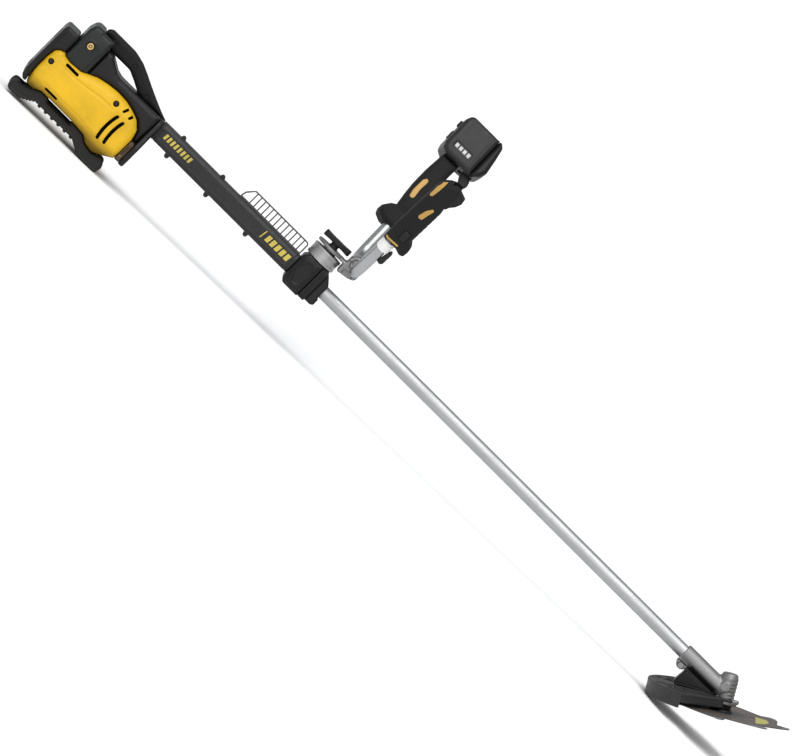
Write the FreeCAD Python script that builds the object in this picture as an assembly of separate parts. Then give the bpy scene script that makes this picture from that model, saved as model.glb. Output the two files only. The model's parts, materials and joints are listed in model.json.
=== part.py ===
import FreeCAD, Part
import math
import os

# Cordless brush cutter with a two-handed bar and a metal blade.
# Everything is drawn in a tool frame: X forward along the boom, Y to the user's left, Z up,
# with the boom's axis on z = 0. The last step tips the tool onto its front feet and the
# guard's lower edge, and moves the middle of its footprint to the origin. Millimetres.

V = FreeCAD.Vector
os.makedirs("parts", exist_ok=True)

# ---- driving dimensions -------------------------------------------------------------
TUBE_R, TUBE_RI = 12.7, 11.2          # boom tube, 1 inch
TUBE_X0, TUBE_X1 = 262.0, 1742.0
SHAFT_R = 4.0                         # drive shaft
FLOOR_X0, FLOOR_Z0 = 325.0, -135.0    # front foot on the floor
FLOOR_X1, FLOOR_Z1 = 1682.8, -99.75   # guard's lowest edge on the floor
HALF_W = 66.0                         # power head half width
WALL = 3.4
SHROUD_X0, SHROUD_X1 = 361.3, 699.7
PIVOT_X = 729.5                       # swivel and knob axis
BAR_R = 11.0                          # handlebar tube, 22 mm
BAR_X, BAR_Z = 781.5, 75.0
BAR_Y, BEND_R, LEAN = 110.0, 45.0, 25.0
SPIN_X = 1786.8                       # where the spindle crosses the boom's axis
SPIN_TILT = 30.0                      # blade plane above the boom's axis
BLADE_R, BLADE_T, ARBOR_R = 127.5, 2.0, 12.7
Z_PINION, Z_GEAR, MODULE = 14, 19, 1.1
BACKLASH = 0.16
GAP = 0.4                             # between parts that move past each other
ORIGIN_X, ORIGIN_Y = 1011.6, 18.8      # middle of the footprint, once tipped

TIP = math.degrees(math.atan2(FLOOR_Z1 - FLOOR_Z0, FLOOR_X1 - FLOOR_X0))
_c, _s = math.cos(math.radians(TIP)), math.sin(math.radians(TIP))
FLOOR_DROP = -(-FLOOR_X0 * _s + FLOOR_Z0 * _c)


def floor_z(x):
    return FLOOR_Z0 + (x - FLOOR_X0) * (FLOOR_Z1 - FLOOR_Z0) / (FLOOR_X1 - FLOOR_X0)


# ---- shape helpers ------------------------------------------------------------------
def box(x0, x1, y0, y1, z0, z1):
    return Part.makeBox(x1 - x0, y1 - y0, z1 - z0, V(x0, y0, z0))


def cx(x0, x1, r, y=0.0, z=0.0):
    return Part.makeCylinder(r, x1 - x0, V(x0, y, z), V(1, 0, 0))


def cy(y0, y1, r, x, z):
    return Part.makeCylinder(r, y1 - y0, V(x, y0, z), V(0, 1, 0))


def cz(z0, z1, r, x=0.0, y=0.0):
    return Part.makeCylinder(r, z1 - z0, V(x, y, z0), V(0, 0, 1))


def ring_x(x0, x1, ro, ri):
    return cx(x0, x1, ro).cut(cx(x0 - 1, x1 + 1, ri))


def ring_z(z0, z1, ro, ri):
    return cz(z0, z1, ro).cut(cz(z0 - 1, z1 + 1, ri))


def rounded_wire(pts, r, put):
    """Closed outline with each corner rounded as far as its sides allow. A point may carry its own radius."""
    n = len(pts)
    p = [(q[0], q[1]) for q in pts]
    rad = [q[2] if len(q) > 2 else r for q in pts]
    cut = []
    for i in range(n):
        a, b, c = p[i - 1], p[i], p[(i + 1) % n]
        ux, uy = a[0] - b[0], a[1] - b[1]
        vx, vy = c[0] - b[0], c[1] - b[1]
        lu, lv = math.hypot(ux, uy), math.hypot(vx, vy)
        ux, uy, vx, vy = ux / lu, uy / lu, vx / lv, vy / lv
        ang = math.acos(max(-1, min(1, ux * vx + uy * vy)))
        if rad[i] <= 0 or abs(math.pi - ang) < 0.02:
            cut.append(None)
            continue
        t = min(rad[i] / math.tan(ang / 2), 0.45 * lu, 0.45 * lv)
        rr = t * math.tan(ang / 2)
        s = (b[0] + ux * t, b[1] + uy * t)
        e = (b[0] + vx * t, b[1] + vy * t)
        bx, by = ux + vx, uy + vy
        lb = math.hypot(bx, by)
        d = rr / math.sin(ang / 2)
        m = (b[0] + bx / lb * (d - rr), b[1] + by / lb * (d - rr))
        cut.append((s, m, e))
    edges = []
    for i in range(n):
        here, nxt = cut[i], cut[(i + 1) % n]
        if here:
            edges.append(Part.Arc(put(*here[0]), put(*here[1]), put(*here[2])).toShape())
        a = here[2] if here else p[i]
        b = nxt[0] if nxt else p[(i + 1) % n]
        if math.hypot(a[0] - b[0], a[1] - b[1]) > 1e-6:
            edges.append(Part.makeLine(put(*a), put(*b)))
    return Part.Wire(edges)


def side(pts, y0, y1, r=0.0):
    """An XZ outline drawn out along Y."""
    w = rounded_wire(pts, r, lambda a, b: V(a, y0, b))
    return Part.Face(w).extrude(V(0, y1 - y0, 0))


def plan(pts, z0, z1, r=0.0):
    w = rounded_wire(pts, r, lambda a, b: V(a, b, z0))
    return Part.Face(w).extrude(V(0, 0, z1 - z0))


def front(pts, x0, x1, r=0.0):
    w = rounded_wire(pts, r, lambda a, b: V(x0, a, b))
    return Part.Face(w).extrude(V(x1 - x0, 0, 0))


def rect(a0, a1, b0, b1):
    return [(a0, b0), (a1, b0), (a1, b1), (a0, b1)]


def soft(shape, r, pick):
    """Round the picked edges, with less radius if the full one can't be made."""
    for k in (1.0, 0.7, 0.45, 0.25):
        try:
            edges = [e for e in shape.Edges if pick(e)]
            got = shape.makeFillet(r * k, edges)
            if got.isValid() and got.Volume > 0.6 * shape.Volume:
                return got
        except Exception:
            pass
    return shape


def flat_y(e):
    """Edges that lie in a plane of constant y."""
    b = e.BoundBox
    return b.YLength < 1e-4


def at(shape, dx=0.0, dy=0.0, dz=0.0):
    s = shape.copy()
    s.translate(V(dx, dy, dz))
    return s


def mirror_y(shape):
    return shape.mirror(V(0, 0, 0), V(0, 1, 0))


def group(shapes):
    out = []
    for s in shapes:
        out += s.Solids
    return Part.makeCompound(out)


def fused(*shapes):
    s = shapes[0].fuse(list(shapes[1:])) if len(shapes) > 1 else shapes[0]
    return s.removeSplitter()


def spindle(shape):
    """From the spindle's own frame (Z up its axis, X forward over the blade) to the tool frame."""
    s = shape.copy()
    s.rotate(V(0, 0, 0), V(0, 1, 0), -SPIN_TILT)
    s.translate(V(SPIN_X, 0, 0))
    return s


PARTS = {}


def out(name, shape):
    PARTS[name] = shape


# ---- power head ---------------------------------------------------------------------
HOUSING = [
    (134, -104.8, 4), (130.2, -92, 8), (128.6, -70, 20), (128.6, -45, 20), (130.6, -29, 5), (137, -22.5, 3), (146, -19.6, 2),
    (151, -24.5, 6), (165, -27.6, 12), (190, -25.6, 8), (201, -20.2, 6), (220, -11, 12), (240, -5.2, 12), (262, -2, 20),
    (285, -3, 14), (305, -8, 12), (321, -14, 10), (335, -28, 10), (339.6, -46, 12), (339.6, -92, 4), (322, -102, 10),
    (303, -112, 8), (285, -108.5, 6), (272, -99, 6), (245, -97, 10), (165, -97, 8), (151, -104, 6),
]


def inset(pts, d):
    """Outline moved inward by d, corner by corner."""
    n = len(pts)
    area = sum(pts[i][0] * pts[(i + 1) % n][1] - pts[(i + 1) % n][0] * pts[i][1] for i in range(n))
    sgn = 1 if area > 0 else -1
    res = []
    for i in range(n):
        a, b, c = pts[i - 1], pts[i], pts[(i + 1) % n]
        l1 = math.hypot(b[0] - a[0], b[1] - a[1])
        l2 = math.hypot(c[0] - b[0], c[1] - b[1])
        n1 = (-(b[1] - a[1]) / l1 * sgn, (b[0] - a[0]) / l1 * sgn)
        n2 = (-(c[1] - b[1]) / l2 * sgn, (c[0] - b[0]) / l2 * sgn)
        bx, by = n1[0] + n2[0], n1[1] + n2[1]
        k = d * 2 / (bx * bx + by * by) * 1.0
        res.append((b[0] + bx * k, b[1] + by * k))
    return res


def housing():
    outer = side(HOUSING, -HALF_W, HALF_W, 4)
    outer = outer.common(plan(rect(120, 348, -HALF_W, HALF_W), -130, 20, 20))
    outer = outer.common(front([(-HALF_W, -78), (-50, -118), (50, -118), (HALF_W, -78), (HALF_W, -22), (48, 6), (-48, 6), (-HALF_W, -22)], 120, 348, 16))
    inner = side(inset(HOUSING, WALL), -HALF_W + WALL, HALF_W - WALL)
    inner = inner.common(plan(rect(120 + WALL, 348 - WALL, -HALF_W + WALL, HALF_W - WALL), -130, 20, 17))
    inner = inner.common(front([(-HALF_W + WALL, -77), (-49, -115), (49, -115), (HALF_W - WALL, -77), (HALF_W - WALL, -24), (46, 2), (-46, 2), (-HALF_W + WALL, -24)], 120, 348, 13))
    s = outer.cut(inner)
    s = s.cut(cx(118, 352, 28.2))                      # trough for the motor, coupling and boom
    s = s.cut(box(118, 150, -38.5, 38.5, -98.5, -31.5))  # battery opening
    for sy in (-1, 1):                                 # air vents and grooves
        for x, z0, z1 in ((292, -86, -36), (308, -84, -39)):
            s = s.cut(box(x - 2.6, x + 2.6, min(sy * 52, sy * 70), max(sy * 52, sy * 70), z0, z1))
        s = s.cut(box(170, 198, min(sy * 60, sy * 70), max(sy * 60, sy * 70), -92, -88))
        s = s.cut(box(168, 196, min(sy * 60, sy * 70), max(sy * 60, sy * 70), -35, -31))
    return s


h = housing()
out("housing_right", h.common(box(100, 360, -80, 0, -130, 30)))
out("housing_left", h.common(box(100, 360, 0, 80, -130, 30)))

BOX = [(147.4, -20.4, 1), (147.4, 46, 6), (153, 57, 5), (160, 58.2, 4), (172, 58.2, 1.5), (174, 54.6, 1), (198, 54.6, 1),
       (199.8, 36, 3), (200.2, -20.2, 1), (190, -25.2, 8), (165, -27.2, 12), (151, -24.1, 6)]
mh = side(BOX, -54, 54)
mh = soft(mh, 7, lambda e: flat_y(e) and e.BoundBox.ZMax > -15)
mh = mh.fuse(cx(147.4, 200, 27.8)).cut(cx(150.6, 230, 24.6))
mh = mh.cut(box(152, 196, -50, -30, -14, 48)).cut(box(152, 196, 30, 50, -14, 48)).cut(box(152, 196, -27, 27, 29, 50))
out("motor_housing", mh.removeSplitter())

TOP = [(200.4, -19.6), (200.4, 37.2, 1), (213, 37.2, 3), (222, 30.5, 6), (240, 20, 8), (252, 17.2, 6), (349.6, 17.2, 1), (349.6, -44.6),
       (340, -44.6), (335.4, -27.7, 8), (321.3, -13.6, 10), (305, -7.6, 12), (285, -2.6, 14), (262, -1.6, 20), (240, -4.8, 12), (220, -10.6, 12)]
tf = side(TOP, -46, 46)
tf = soft(tf, 6, lambda e: flat_y(e) and e.BoundBox.ZMin > 5)
tf = tf.fuse(cx(200.4, 349.6, 27.8).common(box(190, 360, -30, 30, -30, 8)))
tf = tf.cut(cx(190, TUBE_X0, 14.5)).cut(cx(190, 219, 24.6)).cut(cx(TUBE_X0 - 1, 360, TUBE_R + 0.05))
for sy in (-1, 1):
    y0, y1 = (24, 42) if sy > 0 else (-42, -24)
    tf = tf.cut(box(214, 338, y0, y1, -40, 12))
out("top_frame", tf.removeSplitter())

HANDLE = [(173.6, 55.2, 4), (173.6, 62, 6), (181, 68.2, 6), (236, 68.2, 20), (260, 62.5, 14), (280, 53.5, 20), (300, 43.6, 20), (320, 34.4, 20),
          (340, 25.6, 20), (356, 19.4, 8), (361, 18.2, 1), (361, 17.6), (289, 17.6, 2), (285, 21, 4), (270, 29, 8), (251, 37.6, 8), (200.2, 37.6, 2), (200, 55.0, 1)]
ch = side(HANDLE, -16, 16)
ch = soft(ch, 6, lambda e: flat_y(e))
out("carry_handle", ch)

out("ring_screws", group([cy(-56, -53.6, 7, 173.5, 19).cut(cy(-57, -55, 2.6, 173.5, 19)), cy(53.6, 56, 7, 173.5, 19).cut(cy(55, 57, 2.6, 173.5, 19))]))
PARTS["motor_housing"] = PARTS["motor_housing"].cut(cy(-60, -53.6, 7.05, 173.5, 19)).cut(cy(53.6, 60, 7.05, 173.5, 19))

out("end_plate", front([(-52, -90), (52, -90), (56, -80), (56, -54), (50, -44.9), (-50, -44.9), (-56, -54), (-56, -80)], 340.0, 349.8, 3).cut(cx(330, 360, 28)))
ff = front([(-52, -92), (52, -92), (58, -78), (58, -50), (46, -20), (40, 8), (30, 17.4), (-30, 17.4), (-40, 8), (-46, -20), (-58, -50), (-58, -78)], 350, 361, 8)
ff = soft(ff, 3, lambda e: e.BoundBox.XLength < 1e-4 and e.BoundBox.XMin > 360)
out("front_frame", ff.cut(cx(340, 370, TUBE_R + 0.05)))

# screws in the shells, as pan heads standing just proud
heads = []
for x, z, yy in ((142.8, -50, 63.6), (278, -22, 60.0)):
    for sy in (-1, 1):
        heads.append(cy(min(sy * yy, sy * (yy + 4)), max(sy * yy, sy * (yy + 4)), 4.6, x, z))
for x, z in ((253, 49), (306, 25.5)):
    for sy in (-1, 1):
        heads.append(cy(min(sy * 14, sy * 16.6), max(sy * 14, sy * 16.6), 3.4, x, z))
for z in (-52, -84):
    for sy in (-1, 1):
        heads.append(cy(min(sy * 52, sy * 57.2), max(sy * 52, sy * 57.2), 3.4, 345, z))
for h1 in heads:
    for node in ("housing_right", "housing_left", "carry_handle", "end_plate"):
        PARTS[node] = PARTS[node].cut(h1) if PARTS[node].BoundBox.intersect(h1.BoundBox) else PARTS[node]

# stand: two skids on cross tubes; the front feet are flat where they meet the floor
SKID = [(113.2, -124, 5), (115, -115, 5), (121, -112.6, 4), (136, -112.6, 8), (150, -105.6, 4), (158, -101.6, 4), (166.5, -97.5, 2), (184, -97.5, 1),
        (185.5, -104.6, 3), (244, -104.6, 3), (246, -97.6, 1), (263, -98.9, 2), (272, -100, 4), (285, -109.3, 4), (303, -113, 6), (322, -108.6, 6), (333, -110, 6), (337.4, -120, 6),
        (334, floor_z(334), 4), (300, floor_z(300), 6), (285, -131.6, 8), (262, -118.4, 8), (172, -118.4, 6), (160, -127, 8), (146, -133.6, 8), (120, -135, 6), (114.4, -131, 5)]
sk = side(SKID, 25, 45)
sk = soft(sk, 3.5, lambda e: flat_y(e) and e.BoundBox.ZMin > -131.0)
for i in range(6):
    x = 178 + 15.6 * i
    sk = sk.fuse(side([(x, -118), (x + 7, -118), (x + 6, -121.6), (x + 1, -121.6)], 26.5, 43.5, 0.8))
stand = fused(sk, mirror_y(sk), cy(-30, 30, 8, 126, -123.5), cy(-30, 30, 8, 318, -121), box(168, 182, -30, 30, -110, -99), box(248, 262, -30, 30, -112, -100))
out("stand", stand)

# ---- battery ------------------------------------------------------------------------
SLAB = [(117.5, 21, 4), (143.4, 21, 2), (146.6, 18, 2), (146.6, -18.6, 1), (136.6, -21.8, 2), (129.8, -28.4, 3), (127.9, -45, 10), (127.9, -70, 10), (129.4, -92, 6), (131.6, -103, 2), (126.4, -103.6, 3),
        (117.8, -62, 6), (114.8, -52, 8), (114.8, 12, 6)]
slab = side(SLAB, -58, 58)
slab = soft(slab, 6, lambda e: flat_y(e) and e.BoundBox.XMax < 128 or flat_y(e) and e.BoundBox.ZMin > 17)
case = slab.fuse(box(120, 240, -37.5, 37.5, -93.2, -32.5))
case = case.cut(box(136, 236.5, -34.5, 34.5, -91.4, -35.5))
case = case.cut(cx(144, 152, 28.6)).cut(box(110, 129, -19, 19, -16, 4))
case = case.cut(box(236, 242, -22, 22, -72, -58))
for y in (-24, 24):                                   # finger scallops on the back
    case = case.cut(cy(y - 14, y + 14, 7, 112.0, -76))
out("battery_case", case.removeSplitter())
cells = [Part.makeCylinder(9.1, 66, V(146.2 + 19.2 * i, -33, -44.9 - 18.5 * j), V(0, 1, 0)) for i in range(5) for j in range(3)]
out("battery_cells", group(cells))
latch = soft(box(115.6, 123.4, -18.5, 18.5, -15.5, 3.5), 1.6, lambda e: e.BoundBox.XMax < 116.5)
out("battery_latch", latch)
blades = [box(233, 250, y - 0.5, y + 0.5, -70, -60) for y in (-16.5, -5.5, 5.5, 16.5)]
cb = box(241, 252, -30, 30, -84, -46)
out("contact_block", cb.fuse(blades).removeSplitter())
ctl = box(258, 324, -48, 48, -90, -38)
for i in range(9):
    ctl = ctl.cut(box(262 + 7 * i, 265.4 + 7 * i, -49, 49, -46, -37))
out("controller", ctl.removeSplitter())

# ---- motor --------------------------------------------------------------------------
st = ring_x(161, 193, 24.5, 15.6)
for i in range(12):
    slot = box(150, 205, -2.1, 2.1, 17.4, 22.2)
    slot.rotate(V(0, 0, 0), V(1, 0, 0), 30 * i)
    st = st.cut(slot)
out("stator", st.removeSplitter())
out("rotor", ring_x(160.5, 193.5, 15.0, SHAFT_R))
out("motor_shaft", cx(151.2, 243.6, SHAFT_R))
fan = ring_x(198.5, 201.0, 23.4, SHAFT_R).fuse(ring_x(201.0, 207.0, 8.0, SHAFT_R))
for i in range(9):
    bl = box(200.6, 207.0, -0.9, 0.9, 9.0, 23.0)
    bl.rotate(V(0, 0, 16), V(1, 0, 0), 28)
    bl.rotate(V(0, 0, 0), V(1, 0, 0), 40 * i)
    fan = fan.fuse(bl)
out("fan", fan.removeSplitter())
cp = cx(224, 256, 9.5).cut(cx(220, 243.6, SHAFT_R)).cut(cx(244.6, 260, SHAFT_R))
for i in range(3):
    g = box(228 + 9 * i, 229.6 + 9 * i, -12, 12, -12, 12).cut(cx(220, 260, 8.4))
    cp = cp.cut(g)
out("drive_shaft", cp.fuse(cx(243.7, SPIN_X - 24.0, SHAFT_R)).removeSplitter())
def carrier(x0, x1):
    c = ring_x(x0, x1, 24.7, 11.0)
    for i in range(6):
        a = math.radians(60 * i)
        c = c.cut(cx(x0 - 1, x1 + 1, 4.6, 17.6 * math.cos(a), 17.6 * math.sin(a)))
    return c


PARTS["motor_housing"] = PARTS["motor_housing"].fuse(carrier(150.4, 156.5)).removeSplitter()
PARTS["top_frame"] = PARTS["top_frame"].fuse(carrier(209.5, 216.5)).removeSplitter()
out("bearings", group([ring_x(151.5, 156.5, 11.0, SHAFT_R + 0.05), ring_x(210, 216, 11.0, SHAFT_R + 0.05), ring_x(1745, 1753, 11.0, SHAFT_R + 0.05),
                       spindle(ring_z(24, 31, 12.2, 5.05)), spindle(ring_z(-13, -6, 12.2, 5.05))]))

# ---- boom ---------------------------------------------------------------------------
out("boom_tube", ring_x(TUBE_X0, TUBE_X1, TUBE_R, TUBE_RI))
out("tube_bushings", group([ring_x(x, x + 18, TUBE_RI, SHAFT_R + 0.06) for x in (300, 560, 820, 1080, 1340, 1600)]))

sec = [(-20, -21), (20, -21), (23, -12), (23, 9), (17, 17.6), (-17, 17.6), (-23, 9), (-23, -12)]
sh = front(sec, SHROUD_X0, SHROUD_X1, 5)
inn = front([(a * 0.87, b * 0.84) for a, b in sec], SHROUD_X0 + 12, SHROUD_X1 - 12, 4)
sh = sh.cut(inn.cut(cx(300, 800, TUBE_R + 0.05)))
sh = sh.cut(cx(300, 800, TUBE_R + 0.05))
BOSS = [(405, 19.0), (503, 19.0), (405, -24.6), (503, -24.6), (602, -24.6)]
for x, z in BOSS:
    sh = sh.fuse(side([(x - 6.5, 15 if z > 0 else -18.5), (x - 5, z), (x - 3.6, z + (4.6 if z > 0 else -4.6)), (x + 3.6, z + (4.6 if z > 0 else -4.6)), (x + 5, z), (x + 6.5, 15 if z > 0 else -18.5)], -9, 9, 2))
sh = sh.cut(cx(300, 800, TUBE_R + 0.05))
screws = [cy(-10, 7, 1.8, x, z).fuse(cy(-10.6, -9, 3.2, x, z)) for x, z in BOSS]
for s1 in screws:
    sh = sh.cut(s1)
out("shroud_right", sh.common(box(300, 800, -60, 0, -60, 60)).removeSplitter())
out("shroud_left", sh.common(box(300, 800, 0, 60, -60, 60)).removeSplitter())

# harness ladder: rails and rungs of one welded strip
HY = 2.6
rungs = []
RUNG0, RUNG_PITCH, RUNG_N = 568.6, 9.72, 13
for i in range(RUNG_N):
    x = RUNG0 + RUNG_PITCH * i
    rungs.append(box(x - 1.2, x + 1.2, -HY, HY, 20.4, 41.6))
out("harness_rungs", group(rungs))
low = box(548, 696, -4.5, 4.5, 17.6, 20.4)
top = side([(563, 44.2), (560, 41.6), (690, 41.6), (688.5, 44.2)], -HY, HY)
rear = side([(547.6, 20.4), (549.6, 30), (555.4, 36.6), (560, 41.6), (563, 44.2), (566, 44.2), (566, 41.6), (562.6, 41.6), (557.6, 35.4), (552.2, 29), (550.4, 20.4)], -HY, HY)
rear = rear.cut(top)
fr = side([(690, 41.6), (688.5, 44.2), (693, 43.6), (696, 40), (696, 20.4), (693.4, 20.4), (693.4, 39.2), (691.4, 41.6)], -HY, HY)
out("harness_rails", group([low, top, rear, fr]))

# collar block that holds the bar's mount on the boom
col = side([(700.2, -28, 4), (707, -36.6, 4), (743, -36.6, 1), (743, 34.0, 1), (708, 34.0, 5), (700.2, 25, 5)], -31, 31)
col = soft(col, 6, lambda e: flat_y(e))
out("collar_body", col.cut(cx(690, 780, TUBE_R + 0.05)))
band = front([(-28, -35), (28, -35), (29, -28), (29, 27), (24, 33.4), (-24, 33.4), (-29, 27), (-29, -28)], 743.1, 757, 5)
nose = side([(757, -31, 1), (757, 28, 1), (760, 28, 3), (773, 14, 4), (773, -13.4, 2), (776, -15.4, 2), (776, -28, 3), (770, -31, 3)], -25, 25)
nose = soft(nose, 4, lambda e: flat_y(e) and e.BoundBox.XMax > 758)
out("collar_nose", fused(band, nose).cut(cx(690, 780, TUBE_R + 0.05)))
bolts = [cz(-38.4, 30, 2.4, x, sy * 21).fuse(cz(-39.6, -36.6, 4.3, x, sy * 21)) for x in (712, 734) for sy in (-1, 1)]
cb2 = PARTS["collar_body"]
for b in bolts:
    cb2 = cb2.cut(b)
PARTS["collar_body"] = cb2
out("body_screws", group(heads + screws + bolts))

# ---- handlebar mount ----------------------------------------------------------------
base = cz(34.2, 58, 30, PIVOT_X)
base = base.cut(cz(34.2, 60, 4.4, PIVOT_X))
base = base.cut(cz(38.5, 54, 31, PIVOT_X).cut(cz(38.5, 54, 27.5, PIVOT_X)))
out("handle_base", base)

disc = cz(62.6, 68, 30.4, PIVOT_X).fuse(cz(58.4, 62.8, 14, PIVOT_X))
arm = side([(752, 62.6), (761.2, 62.6, 2), (761.2, 45, 2), (786, 48.4, 4), (797.5, 54, 6), (798.5, 74.8), (764.5, 74.8), (764.5, 68, 2), (752, 68)], -21, 21)
arm = arm.cut(cz(40, 62.5, 31.2, PIVOT_X))
brk = fused(disc, arm).cut(cz(50, 70, 4.4, PIVOT_X)).cut(cy(-40, 40, BAR_R + 0.03, BAR_X, BAR_Z))
cap = cy(-21, 21, 17, BAR_X, BAR_Z).common(box(760, 800, -30, 30, 75.2, 95)).cut(cy(-40, 40, BAR_R + 0.03, BAR_X, BAR_Z))
cap = cap.fuse(box(764.8, 769.5, -21, 21, 75.2, 80)).fuse(box(793.5, 798.2, -21, 21, 75.2, 80)).cut(cy(-40, 40, BAR_R + 0.03, BAR_X, BAR_Z))
caps = [cz(66, 80, 1.5, x, y).fuse(cz(80, 82.6, 2.1, x, y)) for x in (767.2, 795.9) for y in (-15, 15)]
for c1 in caps:
    brk, cap = brk.cut(c1), cap.fuse(c1)
out("swivel_bracket", brk.removeSplitter())
out("bar_cap", cap.removeSplitter())

wing = plan([(-30, -5.5), (-30, 5.5), (-14, 8.5), (14, 8.5), (30, 5.5), (30, -5.5), (14, -8.5), (-14, -8.5)], 74.2, 87, 4)
wing = soft(wing, 3, lambda e: e.BoundBox.ZLength < 1e-4)
kb = fused(at(wing, PIVOT_X), cz(70.2, 78, 8, PIVOT_X), cz(68.4, 70.4, 9.5, PIVOT_X)).cut(cz(60, 80, 3.95, PIVOT_X))
out("knob", kb)
out("knob_stud", cz(38, 80, 3.95, PIVOT_X))

# ---- handlebar ----------------------------------------------------------------------
LN = math.radians(LEAN)
BEND_Y = BAR_Y + BEND_R * math.cos(LN)
BEND_Z = BAR_Z + BEND_R - BEND_R * math.sin(LN)
BAR_TOP = 176.0


def bar_path(side_sign):
    sy = side_sign
    c = V(BAR_X, sy * BAR_Y, BAR_Z + BEND_R)
    half = math.radians((90 - LEAN) / 2)
    mid = V(BAR_X, sy * (BAR_Y + BEND_R * math.sin(half)), BAR_Z + BEND_R - BEND_R * math.cos(half))
    e = V(BAR_X, sy * BEND_Y, BEND_Z)
    t = V(BAR_X, sy * (BEND_Y + BAR_TOP * math.sin(LN)), BEND_Z + BAR_TOP * math.cos(LN))
    return [Part.makeLine(V(BAR_X, 0, BAR_Z), V(BAR_X, sy * BAR_Y, BAR_Z)), Part.Arc(V(BAR_X, sy * BAR_Y, BAR_Z), mid, e).toShape(), Part.makeLine(e, t)]


def pipe(r, sy):
    """Straight, torus and straight lengths of round bar, fused."""
    a = cy(min(0, sy * BAR_Y), max(0, sy * BAR_Y), r, BAR_X, BAR_Z)
    tor = Part.makeTorus(BEND_R, r, V(BAR_X, sy * BAR_Y, BAR_Z + BEND_R), V(1, 0, 0))
    lo = -sy * 1.0
    w = [V(BAR_X - 30, sy * BAR_Y, BAR_Z + BEND_R), V(BAR_X - 30, sy * BAR_Y, BAR_Z - 60),
         V(BAR_X - 30, sy * (BAR_Y + 200 * math.cos(LN)), BAR_Z - 60), V(BAR_X - 30, sy * (BAR_Y + 200 * math.cos(LN)), BAR_Z + BEND_R - 200 * math.sin(LN))]
    cutter = Part.Face(Part.makePolygon(w + [w[0]])).extrude(V(60, 0, 0))
    b = tor.common(cutter)
    e = V(BAR_X, sy * BEND_Y, BEND_Z)
    c = Part.makeCylinder(r, BAR_TOP, e, V(0, sy * math.sin(LN), math.cos(LN)))
    return a.fuse([b, c])


solid = pipe(BAR_R, 1).fuse(pipe(BAR_R, -1)).removeSplitter()
hollow = pipe(BAR_R - 1.6, 1).fuse(pipe(BAR_R - 1.6, -1)).removeSplitter()
out("handlebar", solid.cut(hollow).removeSplitter())


def on_bar(shape, sy):
    """From a grip's own frame (Z up the bar from the end of its bend, X forward) to the tool frame."""
    s = shape.copy()
    s.rotate(V(0, 0, 0), V(1, 0, 0), -sy * LEAN)
    s.translate(V(0, sy * BEND_Y, BEND_Z))
    return s


# left grip, with the control pod on top
LG = [(766.4, 94, 2), (762.4, 122, 30), (760.2, 150, 30), (760.4, 185, 30), (763.6, 226, 2), (800, 226, 2), (799, 190, 30), (801, 150, 30), (800, 110, 20), (798, 94, 2)]
lg = side(LG, -17, 17)
lg = soft(lg, 9, lambda e: flat_y(e) and e.BoundBox.ZMin > 94.5 or flat_y(e) and e.BoundBox.ZLength > 5)
LF = [(745.2, 72, 7), (749.5, 61, 7), (764, 54.2, 8), (800, 54.2, 6), (806, 62, 5), (803, 80, 8), (799, 94.6, 1), (765.6, 94.6, 1), (756, 88, 8)]
lf = soft(side(LF, -20, 20), 7, lambda e: flat_y(e) and e.BoundBox.ZMin < 92.5)
barhole = cz(-20, BAR_TOP, BAR_R + 0.03, BAR_X)
lg = fused(lg, lf).cut(barhole)
for pts in ([(770, 126, 3), (766, 140, 4), (767, 168, 4), (774, 177, 3), (780, 172, 3), (779, 150, 6), (782, 130, 3), (777, 124, 3)],):
    inl = side(pts, -19, -15.4)
    PARTS["_inl"] = inl
lin = PARTS.pop("_inl").common(box(700, 900, -17.5, -10, 0, 400))
lg = lg.cut(lin)
out("left_grip", on_bar(lg, 1))

POD = [(763.6, 226.1, 2), (752.5, 233, 4), (749.2, 243, 8), (749.2, 300, 12), (755, 314.8, 10), (822, 315, 1), (822, 227, 1), (812, 226.4, 2), (800, 226.1, 2)]
pod = side(POD, -27, 27)
pod = soft(pod, 8, lambda e: flat_y(e) and e.BoundBox.ZMax > 232 and e.BoundBox.XMax < 821.9 or flat_y(e) and e.BoundBox.ZMin > 310)
pod = pod.cut(box(755, 818, -22, 22, 246, 308)).cut(box(803, 823, -6.6, 6.6, 220, 244.4))
COV = [(822.1, 229, 1), (829, 229.4, 4), (839.6, 239, 6), (843.8, 252, 8), (838.6, 285, 20), (834, 308, 8), (827, 315, 5), (822.1, 315, 1)]
cov = side(COV, -26, 26)
cov = soft(cov, 7, lambda e: flat_y(e) and e.BoundBox.XMax > 822.5)
cov = cov.cut(box(822, 831, -6.6, 6.6, 220, 244.4))
LEVER = [(806.5, 233, 4), (806.5, 239, 4), (812, 243.2, 4), (818, 240, 4), (823, 229, 4), (833, 224, 4), (835.2, 214, 5), (831, 203, 8), (824, 186, 10), (818, 170, 6), (813, 163, 3),
         (809.8, 167, 3), (813, 183, 10), (818, 200, 10), (817.6, 210, 8), (811, 222, 6)]
lev = side(LEVER, -6, 6)
lev = soft(lev, 2.2, lambda e: flat_y(e) and e.BoundBox.ZMax < 226)
PIV_L = (812.0, 235.5)
lev = lev.cut(cy(-10, 10, 2.05, *PIV_L))
pin_l = cy(-16, 16, 2.0, *PIV_L)
pod = pod.cut(pin_l)
pw = cx(745.6, 756.0, 7.0, 0, 292)
pod = pod.cut(cx(740, 757.5, 7.35, 0, 292))
spd = front(rect(-8, 8, 256, 272), 746.4, 756.0, 3)
pod = pod.cut(front(rect(-8.4, 8.4, 255.6, 272.4), 740, 757.5, 3.4))
pod = pod.cut(box(756.9, 762, -8.4, 8.4, 244, 246.1))
out("left_pod", on_bar(pod.removeSplitter(), 1))
out("pod_cover", on_bar(cov.removeSplitter(), 1))
out("left_lever", on_bar(lev, 1))
out("power_button", on_bar(pw, 1))
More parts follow.
